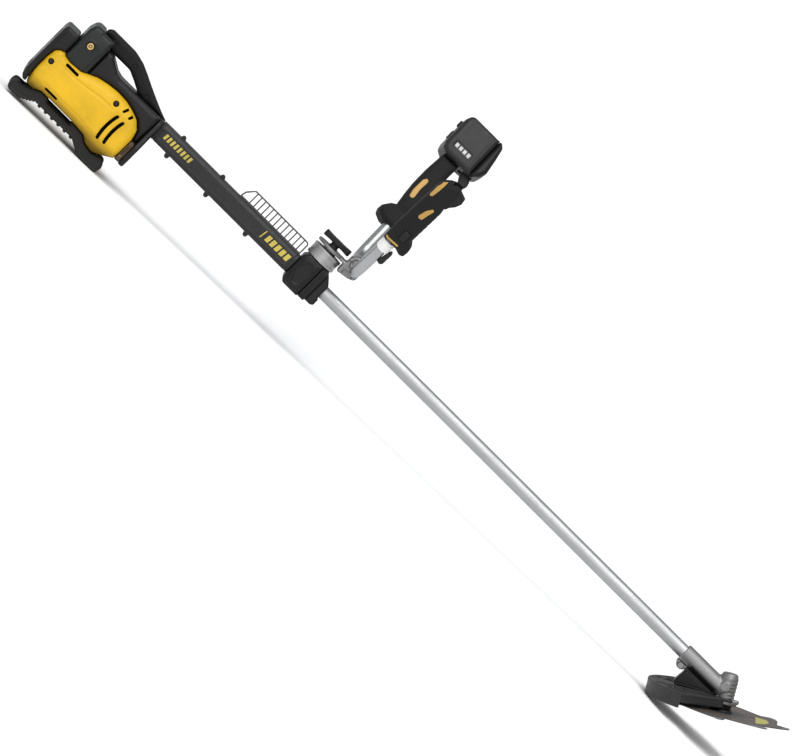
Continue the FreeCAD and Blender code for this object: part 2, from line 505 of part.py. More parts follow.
out("speed_button", on_bar(spd, 1))

# right grip, with the throttle trigger
RG = [(768.2, 69, 2), (766.6, 100, 20), (766.4, 150, 30), (766.4, 235, 10), (768.6, 248, 6), (776, 252.2, 5), (798, 252.2, 5), (806, 245, 5), (806.4, 235, 3), (805, 200, 6), (809.2, 180, 20),
      (809.4, 130, 20), (809.2, 98, 8), (817, 87, 5), (819.2, 78, 5), (818, 67, 3), (810, 64.2, 3), (799, 68.6, 2)]
rg = side(RG, -17, 17)
rg = soft(rg, 8, lambda e: flat_y(e) and e.BoundBox.ZMin > 70)
TRIG = [(789.6, 229, 3), (789.4, 237, 4), (795, 242, 4), (803, 240, 4), (812, 236, 4), (820.6, 232.6, 3), (822.4, 223, 5), (818.6, 211, 6), (811.8, 201, 6), (809.6, 194, 5), (805.4, 189.6, 2), (802.4, 193, 3), (800.6, 206, 8)]
tr = side(TRIG, -6, 6)
tr = soft(tr, 2.2, lambda e: flat_y(e) and e.BoundBox.XMin > 803)
PIV_R = (795.4, 235.0)
tr = tr.cut(cy(-10, 10, 2.05, *PIV_R))
rg = rg.cut(box(787.0, 830, -6.6, 6.6, 184.6, 244.6)).cut(barhole)
pin_r = cy(-14, 14, 2.0, *PIV_R)
rg = rg.cut(pin_r)
rin = []
for pts in ([(769.2, 196, 3), (768.8, 240, 3), (773, 248, 3), (777, 243, 3), (778.6, 225, 6), (776, 205, 6)],
            [(789, 146, 3), (786.4, 150, 3), (790, 168, 5), (797, 180, 3), (801, 177, 3), (798, 162, 5), (796, 148, 3)],
            [(770, 70.6, 1), (770, 84, 3), (797, 86, 3), (797, 72, 1)]):
    rin.append(side(pts, -17.6, -15.4))
sq = box(787.4, 799.8, -18.6, -14.8, 93, 115)
sq = soft(sq, 1.2, lambda e: e.BoundBox.YMax < -18.5)
rg = rg.cut(box(787.0, 800.2, -20, -12.1, 92.6, 115.4))
for r1 in rin:
    rg = rg.cut(r1)
out("right_grip", on_bar(rg.removeSplitter(), -1))
out("grip_inlays", group([on_bar(lin, 1)] + [on_bar(r1, -1) for r1 in rin]))
out("trigger", on_bar(tr, -1))
out("cruise_button", on_bar(sq, -1))
out("lever_pins", group([on_bar(pin_l, 1), on_bar(pin_r, -1)]))
rc = cz(46.6, 64.0, 13.4, BAR_X + 1.2).fuse(cz(64.0, 68.6, 12.6, BAR_X + 0.6)).cut(cz(-20, 90, BAR_R + 0.03, BAR_X))
clip = side([(791.6, 22, 2), (800, 20, 3), (803.4, 26, 3), (803.4, 50, 3), (799, 56, 3), (795.2, 46.5, 1)], -5, 5).cut(cz(-20, 90, BAR_R + 0.03, BAR_X)).cut(rc)
out("right_collar", on_bar(rc, -1))
out("cable_clip", on_bar(clip, -1))

# ---- cutting head -------------------------------------------------------------------
dP = math.atan2(math.sin(math.radians(60)), Z_GEAR / Z_PINION + math.cos(math.radians(60)))
dG = math.radians(60) - dP
CONE = MODULE * Z_PINION / 2 / math.sin(dP)


def bevel(teeth, delta, phase):
    """Straight bevel gear with its apex at the origin and its back towards +Z. phase puts a tooth on that angle."""
    r = MODULE * teeth / 2
    z = CONE * math.cos(delta)
    zv = teeth / math.cos(delta)
    pts = []
    half = math.pi / 2 / teeth - BACKLASH / r
    ad, de = 0.85 * MODULE * math.cos(delta), 1.15 * MODULE * math.cos(delta)
    slope = math.tan(math.radians(22))
    for i in range(teeth):
        a = phase + 2 * math.pi * i / teeth
        wt, wr = half - ad * slope / r * 1.25, half + de * slope / r * 0.72
        wm = half
        for rr, aa in ((r - de, a - wr), (r, a - wm), (r + ad * 0.55, a - (wm + wt) / 2 + 0.004), (r + ad, a - wt), (r + ad, a + wt), (r + ad * 0.55, a + (wm + wt) / 2 - 0.004), (r, a + wm), (r - de, a + wr)):
            pts.append((rr * math.cos(aa), rr * math.sin(aa)))
    k = 0.72
    w1 = Part.makePolygon([V(x, y, z) for x, y in pts + pts[:1]])
    w2 = Part.makePolygon([V(x * k, y * k, z * k) for x, y in pts + pts[:1]])
    return Part.makeLoft([w2, w1], True, True)


# pinion: back towards -X, a tooth towards +Z; gear: back up the spindle, a gap towards the pinion
pin = bevel(Z_PINION, dP, 0.0)
zo = CONE * math.cos(dP)
rb = MODULE * Z_PINION / 2 - 1.2 * MODULE
pin = pin.fuse(Part.makeCone(rb, 6.2, 4.5, V(0, 0, zo - 0.02), V(0, 0, 1)))
pin.rotate(V(0, 0, 0), V(0, 1, 0), -90)
# after the turn local Z points to -X and local X to +Z
pin.translate(V(SPIN_X, 0, 0))
pin = pin.cut(cx(SPIN_X - 40, SPIN_X - 24.0 + 20, SHAFT_R - 1.0)).fuse(cx(SPIN_X - 24.0, SPIN_X - zo + 1.0, SHAFT_R - 1.0))
out("bevel_pinion", pin.removeSplitter())
gr = bevel(Z_GEAR, dG, math.pi + math.pi / Z_GEAR)
zg = CONE * math.cos(dG)
gr = gr.fuse(cz(zg - 0.02, zg + 5.2, 8.4)).cut(cz(-5, 40, 5.0))
out("bevel_gear", spindle(gr))

sh_out = cz(-20, 32.6, 5.0).fuse(cz(-48.4, -20, 6.0))
out("output_shaft", spindle(sh_out))

caseo = cz(-14, 33.5, 15.4).fuse(Part.makeCone(15.4, 12.6, 3.6, V(0, 0, 33.5)))
caseo = caseo.fuse(cz(-18.4, -11.4, 24))
for i in range(5):                                    # cooling fins on the front
    caseo = caseo.fuse(ring_z(-8 + 7.4 * i, -5.2 + 7.4 * i, 18.0, 13.0).common(box(3, 30, -30, 30, -20, 60)))
lug = plan([(15, -8), (27, -5), (27, 5), (15, 8)], -13.6, -8.6, 3)
caseo = spindle(caseo.fuse(lug))
neck = cx(1682, SPIN_X - 6, 16.6)
lugc = cy(-13, 13, 10.6, 1693.5, -16.5).fuse(box(1686, 1702, -13, 13, -18, 0))
gc = caseo.fuse([neck, lugc])
gc = gc.cut(spindle(cz(-40, 33.0, 12.25))).cut(cx(1670, TUBE_X1 + 0.3, TUBE_R + 0.05)).cut(cx(1740, 1755, 11.02)).cut(cx(1754, SPIN_X, 9.9))
gc = gc.cut(box(1670, 1704, -15, 15, -15.6, -13.6))
hb = cz(0, 0.001, 0.001)
gc = gc.removeSplitter()
bolt1 = Part.makeCylinder(2.6, 19.0, V(1693.5, 0, -29.6), V(0, 0, 1))
bolt1 = bolt1.cut(cx(1660, 1720, TUBE_R + 0.05))
gpts = [(18.8, 45), (18.8, 135), (18.8, 225), (18.8, 315)]
gb = []
for rr, aa in gpts:
    a = math.radians(aa)
    gb.append(spindle(cz(-18.2, -7.4, 1.9, rr * math.cos(a), rr * math.sin(a)).fuse(cz(-7.4, -5.4, 3.2, rr * math.cos(a), rr * math.sin(a)))))
bolt1 = Part.makeCylinder(3.0, 26.4, V(1693.5, -13.2, -20.6), V(0, 1, 0)).fuse(Part.makeCylinder(5.2, 3.4, V(1693.5, -16.4, -20.6), V(0, 1, 0)))
gb.append(bolt1)

# guard: a sector plate under the bracket, with a skirt round the back of the blade
G_R, G_A = 140.4, 55.0
GZ0, GZ1, GZB = -11.3, -7.6, -34.25
arc = [(G_R * math.cos(math.radians(180 - G_A + 2 * G_A * i / 24)), G_R * math.sin(math.radians(180 - G_A + 2 * G_A * i / 24))) for i in range(25)]
arci = [((G_R - 3) * math.cos(math.radians(180 - G_A + 2 * G_A * i / 24)), (G_R - 3) * math.sin(math.radians(180 - G_A + 2 * G_A * i / 24))) for i in range(25)]


def sector(r, z0, z1):
    a0, a1 = math.radians(180 - G_A), math.radians(180 + G_A)
    p0, pm, p1 = V(r * math.cos(a0), r * math.sin(a0), z0), V(-r, 0, z0), V(r * math.cos(a1), r * math.sin(a1), z0)
    hub = [V(2, -27, z0), V(2, 27, z0)]
    w = Part.Wire([Part.Arc(p0, pm, p1).toShape(), Part.makeLine(p1, hub[0]), Part.makeLine(hub[0], hub[1]), Part.makeLine(hub[1], p0)])
    return Part.Face(w).extrude(V(0, 0, z1 - z0))


gd = sector(G_R, GZB, GZ1).cut(sector(G_R - 3.0, GZB - 1, GZ0)).fuse(cz(GZ0, GZ1, 27))
keep = sector(G_R, GZB, GZ1).cut(cz(GZB - 1, GZ0, G_R - 3.0))
gd = gd.common(keep.fuse(cz(GZ0, GZ1, 27)))
gd = gd.fuse([ring_z(GZ1 - 0.01, GZ1 + 2.0, 118, 114).common(sector(119, GZ1 - 0.01, GZ1 + 2.0)), ring_z(GZ1 - 0.01, GZ1 + 2.0, 96, 92).common(sector(97, GZ1 - 0.01, GZ1 + 2.0))])
gd = gd.cut(cz(-40, 0, 15.5)).cut(box(15, 40, -40, 40, -40, 0)).cut(cz(-8.4, -4, 18.3).common(box(2.5, 40, -30, 30, -9, 0)))
gd = spindle(gd).cut(cx(1670, SPIN_X - 5.8, 16.8))
gd = max(gd.Solids, key=lambda q: q.Volume)
for b in gb:
    gd = gd.cut(b)
    gc = gc.cut(b)
brp = side([(1705.8, -17.4, 2), (1762, -17.4, 1), (1770.4, -17.2), (1708.2, -53.2, 3), (1703.6, -46, 4)], -13, 13)
brp = brp.cut(cx(1600, 1800, 16.65)).cut(side([(1716, -24), (1746, -24), (1716, -41)], -14, 14, 3)).cut(gd).cut(spindle(cz(-20, 40, 16.0)))
for b in gb:
    brp = brp.cut(b)
brp = max(brp.Solids, key=lambda q: q.Volume)
out("gear_case", gc)
out("head_bolts", group(gb))
out("guard", gd.removeSplitter())
out("guard_bracket", brp)

# blade and its clamp
zc = -28.0 / -math.cos(math.radians(SPIN_TILT))       # distance from the axes' crossing down to the blade
cup = cz(-zc + BLADE_T / 2, -zc + 11.5, 17).fuse(Part.makeCone(21.5, 17.0, 4.0, V(0, 0, -zc + BLADE_T / 2))).fuse(cz(-zc - BLADE_T / 2 + 0.1, -zc + 2.0, ARBOR_R)).cut(cz(-60, 20, 6.0))
cup = cup.cut(ring_z(-zc + 6.5, -zc + 8.5, 24, 15.6))
out("receiver_cup", spindle(cup))
tooth = [(104, 0), (126.2, 2.5), (127.5, 8), (119, 17), (108, 30), (103.6, 41)]
bp = []
for i in range(8):
    for r, a in tooth:
        t = -math.radians(45 * i + a)
        bp.append((r * math.cos(t), r * math.sin(t)))
bp.reverse()
bl = plan([(x, y) for x, y in bp], -zc - BLADE_T / 2, -zc + BLADE_T / 2).cut(cz(-60, 0, ARBOR_R))
for i in range(4):
    a = math.radians(90 * i + 20)
    bl = bl.cut(cz(-60, 0, 7.0, 62 * math.cos(a), 62 * math.sin(a)))
out("blade", spindle(bl))
out("clamp_washer", spindle(fused(ring_z(-zc - BLADE_T / 2 - 2.6, -zc - BLADE_T / 2, 21, 6.0), ring_z(-zc - BLADE_T / 2 - 5.4, -zc - BLADE_T / 2 - 2.4, 15, 6.0))))
hexa = [(9.5 / math.cos(math.pi / 6) * math.cos(math.pi / 3 * i), 9.5 / math.cos(math.pi / 6) * math.sin(math.pi / 3 * i)) for i in range(6)]
nz = -zc - BLADE_T / 2 - 5.4
out("blade_nut", spindle(fused(plan(hexa, nz - 9, nz - 1.6), cz(nz - 1.8, nz, 11)).cut(cz(-60, 0, 6.0))))

# ---- tip onto the floor and write ---------------------------------------------------
for name, shape in PARTS.items():
    s = shape.copy()
    s.rotate(V(0, 0, 0), V(0, 1, 0), TIP)
    s.translate(V(-ORIGIN_X, -ORIGIN_Y, FLOOR_DROP))
    s.exportStep("parts/%s.step" % name)
    bad = "" if s.isValid() else " INVALID"
    b = s.BoundBox
    print("%-18s solids %2d vol %9.0f x %7.1f..%7.1f y %6.1f..%6.1f z %6.1f..%6.1f%s" % (name, len(s.Solids), s.Volume, b.XMin, b.XMax, b.YMin, b.YMax, b.ZMin, b.ZMax, bad))
print("tip", TIP, "drop", FLOOR_DROP, "nodes", len(PARTS))
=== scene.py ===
import bpy
import bmesh
import json
import math
import numpy as np
from mathutils import Matrix, Vector


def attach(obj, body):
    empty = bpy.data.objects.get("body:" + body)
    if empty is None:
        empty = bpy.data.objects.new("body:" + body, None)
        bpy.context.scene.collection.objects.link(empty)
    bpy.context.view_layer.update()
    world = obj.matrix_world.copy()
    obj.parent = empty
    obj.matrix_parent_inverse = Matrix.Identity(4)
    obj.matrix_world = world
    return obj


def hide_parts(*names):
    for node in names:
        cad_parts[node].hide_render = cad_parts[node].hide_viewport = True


bpy.ops.wm.read_factory_settings(use_empty=True)
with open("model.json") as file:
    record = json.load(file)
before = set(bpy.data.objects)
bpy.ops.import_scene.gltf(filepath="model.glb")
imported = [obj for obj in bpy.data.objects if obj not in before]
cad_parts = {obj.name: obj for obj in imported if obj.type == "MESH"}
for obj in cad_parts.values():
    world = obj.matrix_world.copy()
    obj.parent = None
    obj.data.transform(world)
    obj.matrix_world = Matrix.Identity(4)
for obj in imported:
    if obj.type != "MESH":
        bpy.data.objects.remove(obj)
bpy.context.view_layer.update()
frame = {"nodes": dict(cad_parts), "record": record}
NODES = frame["nodes"]

# ---- frames -------------------------------------------------------------------------
# Shapes are drawn in the tool's own frame in millimetres (X along the boom, Z up through the bar's mount) and put into
# the row frame, which is that frame tipped onto its front feet and the guard's edge.
FX0, FZ0, FX1, FZ1 = 325.0, -135.0, 1682.8, -99.75
TIP = math.atan2(FZ1 - FZ0, FX1 - FX0)
C_, S_ = math.cos(TIP), math.sin(TIP)
DROP = FX0 * S_ - FZ0 * C_
OX, OY = 1011.6, 18.8
LEAN = 25.0
BEND_Y = 110 + 45 * math.cos(math.radians(LEAN))
BEND_Z = 75 + 45 - 45 * math.sin(math.radians(LEAN))
SPIN_X = 1786.8


def to_row(p):
    p = np.asarray(p, float).reshape(-1, 3)
    x, y, z = p[:, 0], p[:, 1], p[:, 2]
    return np.stack([x * C_ + z * S_ - OX, y - OY, -x * S_ + z * C_ + DROP], 1) / 1000.0


def grip_frame(sy):
    a = math.radians(-sy * LEAN)

    def put(p):
        p = np.asarray(p, float).reshape(-1, 3)
        y, z = p[:, 1], p[:, 2]
        return np.stack([p[:, 0], sy * BEND_Y + y * math.cos(a) - z * math.sin(a), BEND_Z + y * math.sin(a) + z * math.cos(a)], 1)
    return put


def spin_frame(p):
    p = np.asarray(p, float).reshape(-1, 3)
    a = math.radians(30)
    x, z = p[:, 0], p[:, 2]
    return np.stack([SPIN_X + x * math.cos(a) - z * math.sin(a), p[:, 1], x * math.sin(a) + z * math.cos(a)], 1)


def same(p):
    return np.asarray(p, float).reshape(-1, 3)


# ---- distance fields ----------------------------------------------------------------
def rounded(pts, r):
    """Outline with rounded corners, as points. A point may carry its own radius."""
    n = len(pts)
    res = []
    for i in range(n):
        a, b, c = pts[i - 1], pts[i], pts[(i + 1) % n]
        rad = b[2] if len(b) > 2 else r
        ux, uy, vx, vy = a[0] - b[0], a[1] - b[1], c[0] - b[0], c[1] - b[1]
        lu, lv = math.hypot(ux, uy), math.hypot(vx, vy)
        ux, uy, vx, vy = ux / lu, uy / lu, vx / lv, vy / lv
        ang = math.acos(max(-1, min(1, ux * vx + uy * vy)))
        if rad <= 0 or abs(math.pi - ang) < 0.02:
            res.append((b[0], b[1]))
            continue
        t = min(rad / math.tan(ang / 2), 0.48 * lu, 0.48 * lv)
        rr = t * math.tan(ang / 2)
        bx, by = ux + vx, uy + vy
        lb = math.hypot(bx, by)
        d = rr / math.sin(ang / 2)
        cx0, cy0 = b[0] + bx / lb * d, b[1] + by / lb * d
        s, e = (b[0] + ux * t - cx0, b[1] + uy * t - cy0), (b[0] + vx * t - cx0, b[1] + vy * t - cy0)
        a0, a1 = math.atan2(s[1], s[0]), math.atan2(e[1], e[0])
        while a1 - a0 > math.pi:
            a1 -= 2 * math.pi
        while a1 - a0 < -math.pi:
            a1 += 2 * math.pi
        k = max(2, int(abs(a1 - a0) * math.sqrt(rr) * 1.6) + 1)
        res += [(cx0 + rr * math.cos(a0 + (a1 - a0) * j / k), cy0 + rr * math.sin(a0 + (a1 - a0) * j / k)) for j in range(k + 1)]
    return res


def poly(A, B, pts, r=0.0):
    """Signed distance to an outline in the plane of A and B."""
    pts = rounded(pts, r)
    A, B = np.broadcast_arrays(A, B)
    d = np.full(A.shape, 1e9, np.float32)
    s = np.ones(A.shape, np.float32)
    n = len(pts)
    for i in range(n):
        x0, y0 = pts[i]
        x1, y1 = pts[i - 1]
        ex, ey = x1 - x0, y1 - y0
        l2 = ex * ex + ey * ey
        if l2 < 1e-9:
            continue
        wx, wy = A - x0, B - y0
        t = np.clip((wx * ex + wy * ey) / l2, 0, 1)
        d = np.minimum(d, (wx - ex * t) ** 2 + (wy - ey * t) ** 2)
        c1, c2, c3 = B >= y0, B < y1, ex * wy > ey * wx
        s = np.where((c1 & c2 & c3) | (~c1 & ~c2 & ~c3), -s, s)
    return s * np.sqrt(d)


def extr(d2, a, r=0.0):
    """An outline's distance drawn out to where a is 0, with its rims rounded by r."""
    p, q = d2 + r, a + r
    return np.hypot(np.maximum(p, 0), np.maximum(q, 0)) + np.minimum(np.maximum(p, q), 0) - r


def smin(a, b, k):
    h = np.clip(0.5 + 0.5 * (b - a) / k, 0, 1)
    return b + (a - b) * h - k * h * (1 - h)


def smax(a, b, k):
    return -smin(-a, -b, k)


def rbox(X, Y, Z, x0, x1, y0, y1, z0, z1, r=0.0):
    qx = np.abs(X - (x0 + x1) / 2) - (x1 - x0) / 2 + r
    qy = np.abs(Y - (y0 + y1) / 2) - (y1 - y0) / 2 + r
    qz = np.abs(Z - (z0 + z1) / 2) - (z1 - z0) / 2 + r
    out = np.sqrt(np.maximum(qx, 0) ** 2 + np.maximum(qy, 0) ** 2 + np.maximum(qz, 0) ** 2)
    return out + np.minimum(np.maximum(qx, np.maximum(qy, qz)), 0) - r


def cylx(X, Y, Z, x0, x1, r, y=0.0, z=0.0, rr=0.0):
    return extr(np.hypot(Y - y, Z - z) - r, np.abs(X - (x0 + x1) / 2) - (x1 - x0) / 2, rr)


def cyly(X, Y, Z, y0, y1, r, x, z, rr=0.0):
    return extr(np.hypot(X - x, Z - z) - r, np.abs(Y - (y0 + y1) / 2) - (y1 - y0) / 2, rr)


def cylz(X, Y, Z, z0, z1, r, x=0.0, y=0.0, rr=0.0):
    return extr(np.hypot(X - x, Y - y) - r, np.abs(Z - (z0 + z1) / 2) - (z1 - z0) / 2, rr)


def nets(F, org, h):
    """Naive surface nets: one vertex per crossed cell, one quad per crossed edge."""
    nx, ny, nz = F.shape
    ins = F < 0
    cnt = np.zeros((nx - 1, ny - 1, nz - 1), np.int8)
    cor = [(i, j, k) for i in (0, 1) for j in (0, 1) for k in (0, 1)]
    for i, j, k in cor:
        cnt += ins[i:nx - 1 + i, j:ny - 1 + j, k:nz - 1 + k]
    act = (cnt > 0) & (cnt < 8)
    idx = np.argwhere(act)
    vals = np.stack([F[idx[:, 0] + i, idx[:, 1] + j, idx[:, 2] + k] for i, j, k in cor], 1)
    pos, num = np.zeros((len(idx), 3)), np.zeros(len(idx))
    for a in range(8):
        for b in range(a + 1, 8):
            ca, cb = np.array(cor[a]), np.array(cor[b])
            if np.abs(ca - cb).sum() != 1:
                continue
            va, vb = vals[:, a], vals[:, b]
            m = (va < 0) != (vb < 0)
            t = np.where(m, va / np.where(m, va - vb, 1), 0)
            pos += np.where(m[:, None], ca + t[:, None] * (cb - ca), 0)
            num += m
    verts = np.array(org) + (idx + pos / num[:, None]) * h
    ids = np.full(act.shape, -1, np.int64)
    ids[act] = np.arange(len(idx))
    faces = []
    for ax in range(3):
        sl0, sl1 = [slice(None)] * 3, [slice(None)] * 3
        sl0[ax], sl1[ax] = slice(0, -1), slice(1, None)
        A, B = ins[tuple(sl0)], ins[tuple(sl1)]
        e = np.argwhere(A != B)
        u, v = [q for q in range(3) if q != ax]
        ok = (e[:, u] > 0) & (e[:, v] > 0) & (e[:, u] < F.shape[u] - 1) & (e[:, v] < F.shape[v] - 1)
        e = e[ok]
        flip = A[tuple(e.T)]
        quad = []
        for du, dv in ((-1, -1), (0, -1), (0, 0), (-1, 0)):
            q = e.copy()
            q[:, u] += du
            q[:, v] += dv
            quad.append(ids[q[:, 0], q[:, 1], q[:, 2]])
        quad = np.stack(quad, 1)
        if ax == 1:
            flip = ~flip
        quad[~flip] = quad[~flip][:, ::-1]
        faces.append(quad)
    faces = np.concatenate(faces)
    return verts, faces[(faces >= 0).all(1)]


def make(name, verts, faces, mat, body, nodes=(), smooth=True):
    me = bpy.data.meshes.new(name)
    me.from_pydata(np.asarray(verts).tolist(), [], [list(map(int, f)) for f in faces])
    me.update()
    if smooth:
        me.polygons.foreach_set("use_smooth", [True] * len(me.polygons))
    o = bpy.data.objects.new(name, me)
    bpy.context.scene.collection.objects.link(o)
    for m in (mat if isinstance(mat, (list, tuple)) else [mat]):
        me.materials.append(m)
    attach(o, body)
    if nodes:
        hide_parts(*nodes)
    return o


def field(name, fn, box, h, mat, body, nodes=(), put=same, weld=0.0):
    """A moulded piece from its distance field over box = (x0, x1, y0, y1, z0, z1)."""
    x0, x1, y0, y1, z0, z1 = box
    ax = [np.arange(a - 1.5 * h, b + 2.5 * h, h, dtype=np.float32) for a, b in ((x0, x1), (y0, y1), (z0, z1))]
    X, Y, Z = ax[0][:, None, None], ax[1][None, :, None], ax[2][None, None, :]
    F = np.broadcast_to(fn(X, Y, Z), (len(ax[0]), len(ax[1]), len(ax[2]))).astype(np.float32)
    v, f = nets(F, (ax[0][0], ax[1][0], ax[2][0]), h)
    # one pull towards the true surface, which sharpens what the nets smooth
    g = np.gradient(F, h)
    q = (v - np.array([ax[0][0], ax[1][0], ax[2][0]])) / h
    i0 = np.clip(np.floor(q).astype(int), 0, np.array(F.shape) - 2)
    t = q - i0

    def tri(A):
        r = 0
        for i in (0, 1):
            for j in (0, 1):
                for k in (0, 1):
                    w = (t[:, 0] if i else 1 - t[:, 0]) * (t[:, 1] if j else 1 - t[:, 1]) * (t[:, 2] if k else 1 - t[:, 2])
                    r = r + w * A[i0[:, 0] + i, i0[:, 1] + j, i0[:, 2] + k]
        return r
    for _ in range(2):
        q = (v - np.array([ax[0][0], ax[1][0], ax[2][0]])) / h
        i0 = np.clip(np.floor(q).astype(int), 0, np.array(F.shape) - 2)
        t = q - i0
        val = tri(F)
        gr = np.stack([tri(c) for c in g], 1)
        n2 = np.maximum((gr ** 2).sum(1), 0.25)
        v = v - np.clip(val / n2, -0.4 * h, 0.4 * h)[:, None] * gr
    return make(name, to_row(put(v)), f, mat, body, nodes)


# ---- solid helpers for turned and sawn pieces ---------------------------------------
def lathe(name, prof, put, axis_xy, mat, body, nodes=(), seg=96, cap=True):
    """Turns a (radius, height) profile about a local Z axis at axis_xy."""
    v, f = [], []
    n = len(prof)
    for i in range(seg):
        a = 2 * math.pi * i / seg
        for r, z in prof:
            v.append((axis_xy[0] + r * math.cos(a), axis_xy[1] + r * math.sin(a), z))
    for i in range(seg):
        j = (i + 1) % seg
        for k in range(n - 1):
            f.append((i * n + k, j * n + k, j * n + k + 1, i * n + k + 1))
    bm = bmesh.new()
    vs = [bm.verts.new(p) for p in to_row(put(v))]
    for q in f:
        try:
            bm.faces.new([vs[t] for t in q])
        except ValueError:
            pass
    bmesh.ops.remove_doubles(bm, verts=bm.verts, dist=1e-6)
    bmesh.ops.recalc_face_normals(bm, faces=bm.faces)
    me = bpy.data.meshes.new(name)
    bm.to_mesh(me)
    bm.free()
    me.polygons.foreach_set("use_smooth", [True] * len(me.polygons))
    o = bpy.data.objects.new(name, me)
    bpy.context.scene.collection.objects.link(o)
    me.materials.append(mat)
    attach(o, body)
    if nodes:
        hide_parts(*nodes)
    sharpen(o, 35)
    return o


def sharpen(o, deg=35):
    """Marks edges over an angle as sharp, so flat faces stay flat under smooth shading."""
    bm = bmesh.new()
    bm.from_mesh(o.data)
    lim = math.radians(deg)
    for e in bm.edges:
        if len(e.link_faces) == 2:
            e.smooth = e.calc_face_angle(0) < lim
    bm.to_mesh(o.data)
    bm.free()


def slab(name, pts, a0, a1, put, mat, body, nodes=(), bevel=0.4, holes=(), segs=3, plane="xz"):
    """An outline with holes, drawn out between a0 and a1 across its plane, with bevelled rims."""
    bm = bmesh.new()

    def ring(q, t):
        return [bm.verts.new((p[0], t, p[1]) if plane == "xz" else (p[0], p[1], t)) for p in q]
    loops = [pts] + list(holes)
    edges = []
    lower = [ring(q, a0) for q in loops]
    for L in lower:
        edges += [bm.edges.new((L[i], L[(i + 1) % len(L)])) for i in range(len(L))]
    bmesh.ops.triangle_fill(bm, use_beauty=True, use_dissolve=False, edges=edges)
    base = list(bm.faces)
    r = bmesh.ops.extrude_face_region(bm, geom=base)
    mv = [g for g in r["geom"] if isinstance(g, bmesh.types.BMVert)]
    d = Vector((0, a1 - a0, 0)) if plane == "xz" else Vector((0, 0, a1 - a0))
    bmesh.ops.translate(bm, verts=mv, vec=d)
    bmesh.ops.dissolve_limit(bm, angle_limit=0.001, verts=bm.verts, edges=bm.edges)
    bmesh.ops.recalc_face_normals(bm, faces=bm.faces)
    co = to_row(put([tuple(v.co) for v in bm.verts]))
    for v, c in zip(bm.verts, co):
        v.co = c
    bmesh.ops.recalc_face_normals(bm, faces=bm.faces)
    me = bpy.data.meshes.new(name)
    bm.to_mesh(me)
    bm.free()
    o = bpy.data.objects.new(name, me)
    bpy.context.scene.collection.objects.link(o)
    me.materials.append(mat)
    if bevel:
        m = o.modifiers.new("rim", "BEVEL")
        m.width, m.segments, m.limit_method, m.angle_limit = bevel / 1000, segs, "ANGLE", math.radians(50)
        m.harden_normals = True
    me.polygons.foreach_set("use_smooth", [True] * len(me.polygons))
    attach(o, body)
    if nodes:
        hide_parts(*nodes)
    return o


def circle(x, y, r, n=40, rev=True):
    q = [(x + r * math.cos(2 * math.pi * i / n), y + r * math.sin(2 * math.pi * i / n)) for i in range(n)]
    return q[::-1] if rev else q


# ---- materials ----------------------------------------------------------------------
def base_mat(name):
    m = bpy.data.materials.new(name)
    m.use_nodes = True
    nt = m.node_tree
    bsdf = next(n for n in nt.nodes if n.type == "BSDF_PRINCIPLED")
    return m, nt, bsdf


def N(nt, kind, **kw):
    n = nt.nodes.new(kind)
    for k, v in kw.items():
        if hasattr(n, k):
            setattr(n, k, v)
        else:
            n.inputs[k].default_value = v
    return n


def noise(nt, co, scale, detail=3.0, rough=0.55, stretch=None):
    src = co
    if stretch:
        mp = N(nt, "ShaderNodeMapping")
        mp.inputs["Scale"].default_value = stretch
        nt.links.new(co, mp.inputs["Vector"])
        src = mp.outputs["Vector"]
    n = N(nt, "ShaderNodeTexNoise")
    n.inputs["Scale"].default_value = scale
    n.inputs["Detail"].default_value = detail
    n.inputs["Roughness"].default_value = rough
    nt.links.new(src, n.inputs["Vector"])
    return n.outputs["Fac"]


def ramp(nt, fac, stops):
    r = N(nt, "ShaderNodeValToRGB")
    cr = r.color_ramp
    while len(cr.elements) < len(stops):
        cr.elements.new(0.5)
    for e, (p, c) in zip(cr.elements, stops):
        e.position = p
        e.color = (*c, 1.0) if isinstance(c, (list, tuple)) else (c, c, c, 1.0)
    nt.links.new(fac, r.inputs["Fac"])
    return r.outputs["Color"]


def maprange(nt, fac, a, b, c, d):
    r = N(nt, "ShaderNodeMapRange")
    r.inputs["From Min"].default_value, r.inputs["From Max"].default_value = a, b
    r.inputs["To Min"].default_value, r.inputs["To Max"].default_value = c, d
    nt.links.new(fac, r.inputs["Value"])
    return r.outputs["Result"]


def mathn(nt, op, a, b=None):
    n = N(nt, "ShaderNodeMath")
    n.operation = op
    for i, v in enumerate((a, b)):
        if v is None:
            continue
        if isinstance(v, (int, float)):
            n.inputs[i].default_value = v
        else:
            nt.links.new(v, n.inputs[i])
    return n.outputs[0]


def mixc(nt, fac, a, b):
    n = N(nt, "ShaderNodeMix")
    n.data_type = "RGBA"
    nt.links.new(fac, n.inputs["Factor"]) if not isinstance(fac, (int, float)) else setattr(n.inputs["Factor"], "default_value", fac)
    ia, ib = [s for s in n.inputs if s.name in ("A", "B") and s.type == "RGBA"]
    for s, v in ((ia, a), (ib, b)):
        if isinstance(v, (list, tuple)):
            s.default_value = (*v, 1.0)
        else:
            nt.links.new(v, s)
    return [o for o in n.outputs if o.type == "RGBA"][0]


def bump(nt, bsdf, height, strength, dist):
    b = N(nt, "ShaderNodeBump")
    b.inputs["Strength"].default_value = strength
    b.inputs["Distance"].default_value = dist
    nt.links.new(height, b.inputs["Height"])
    nt.links.new(b.outputs["Normal"], bsdf.inputs["Normal"])
    return b


def shade(c, k):
    return tuple(min(1.0, v * k) for v in c)


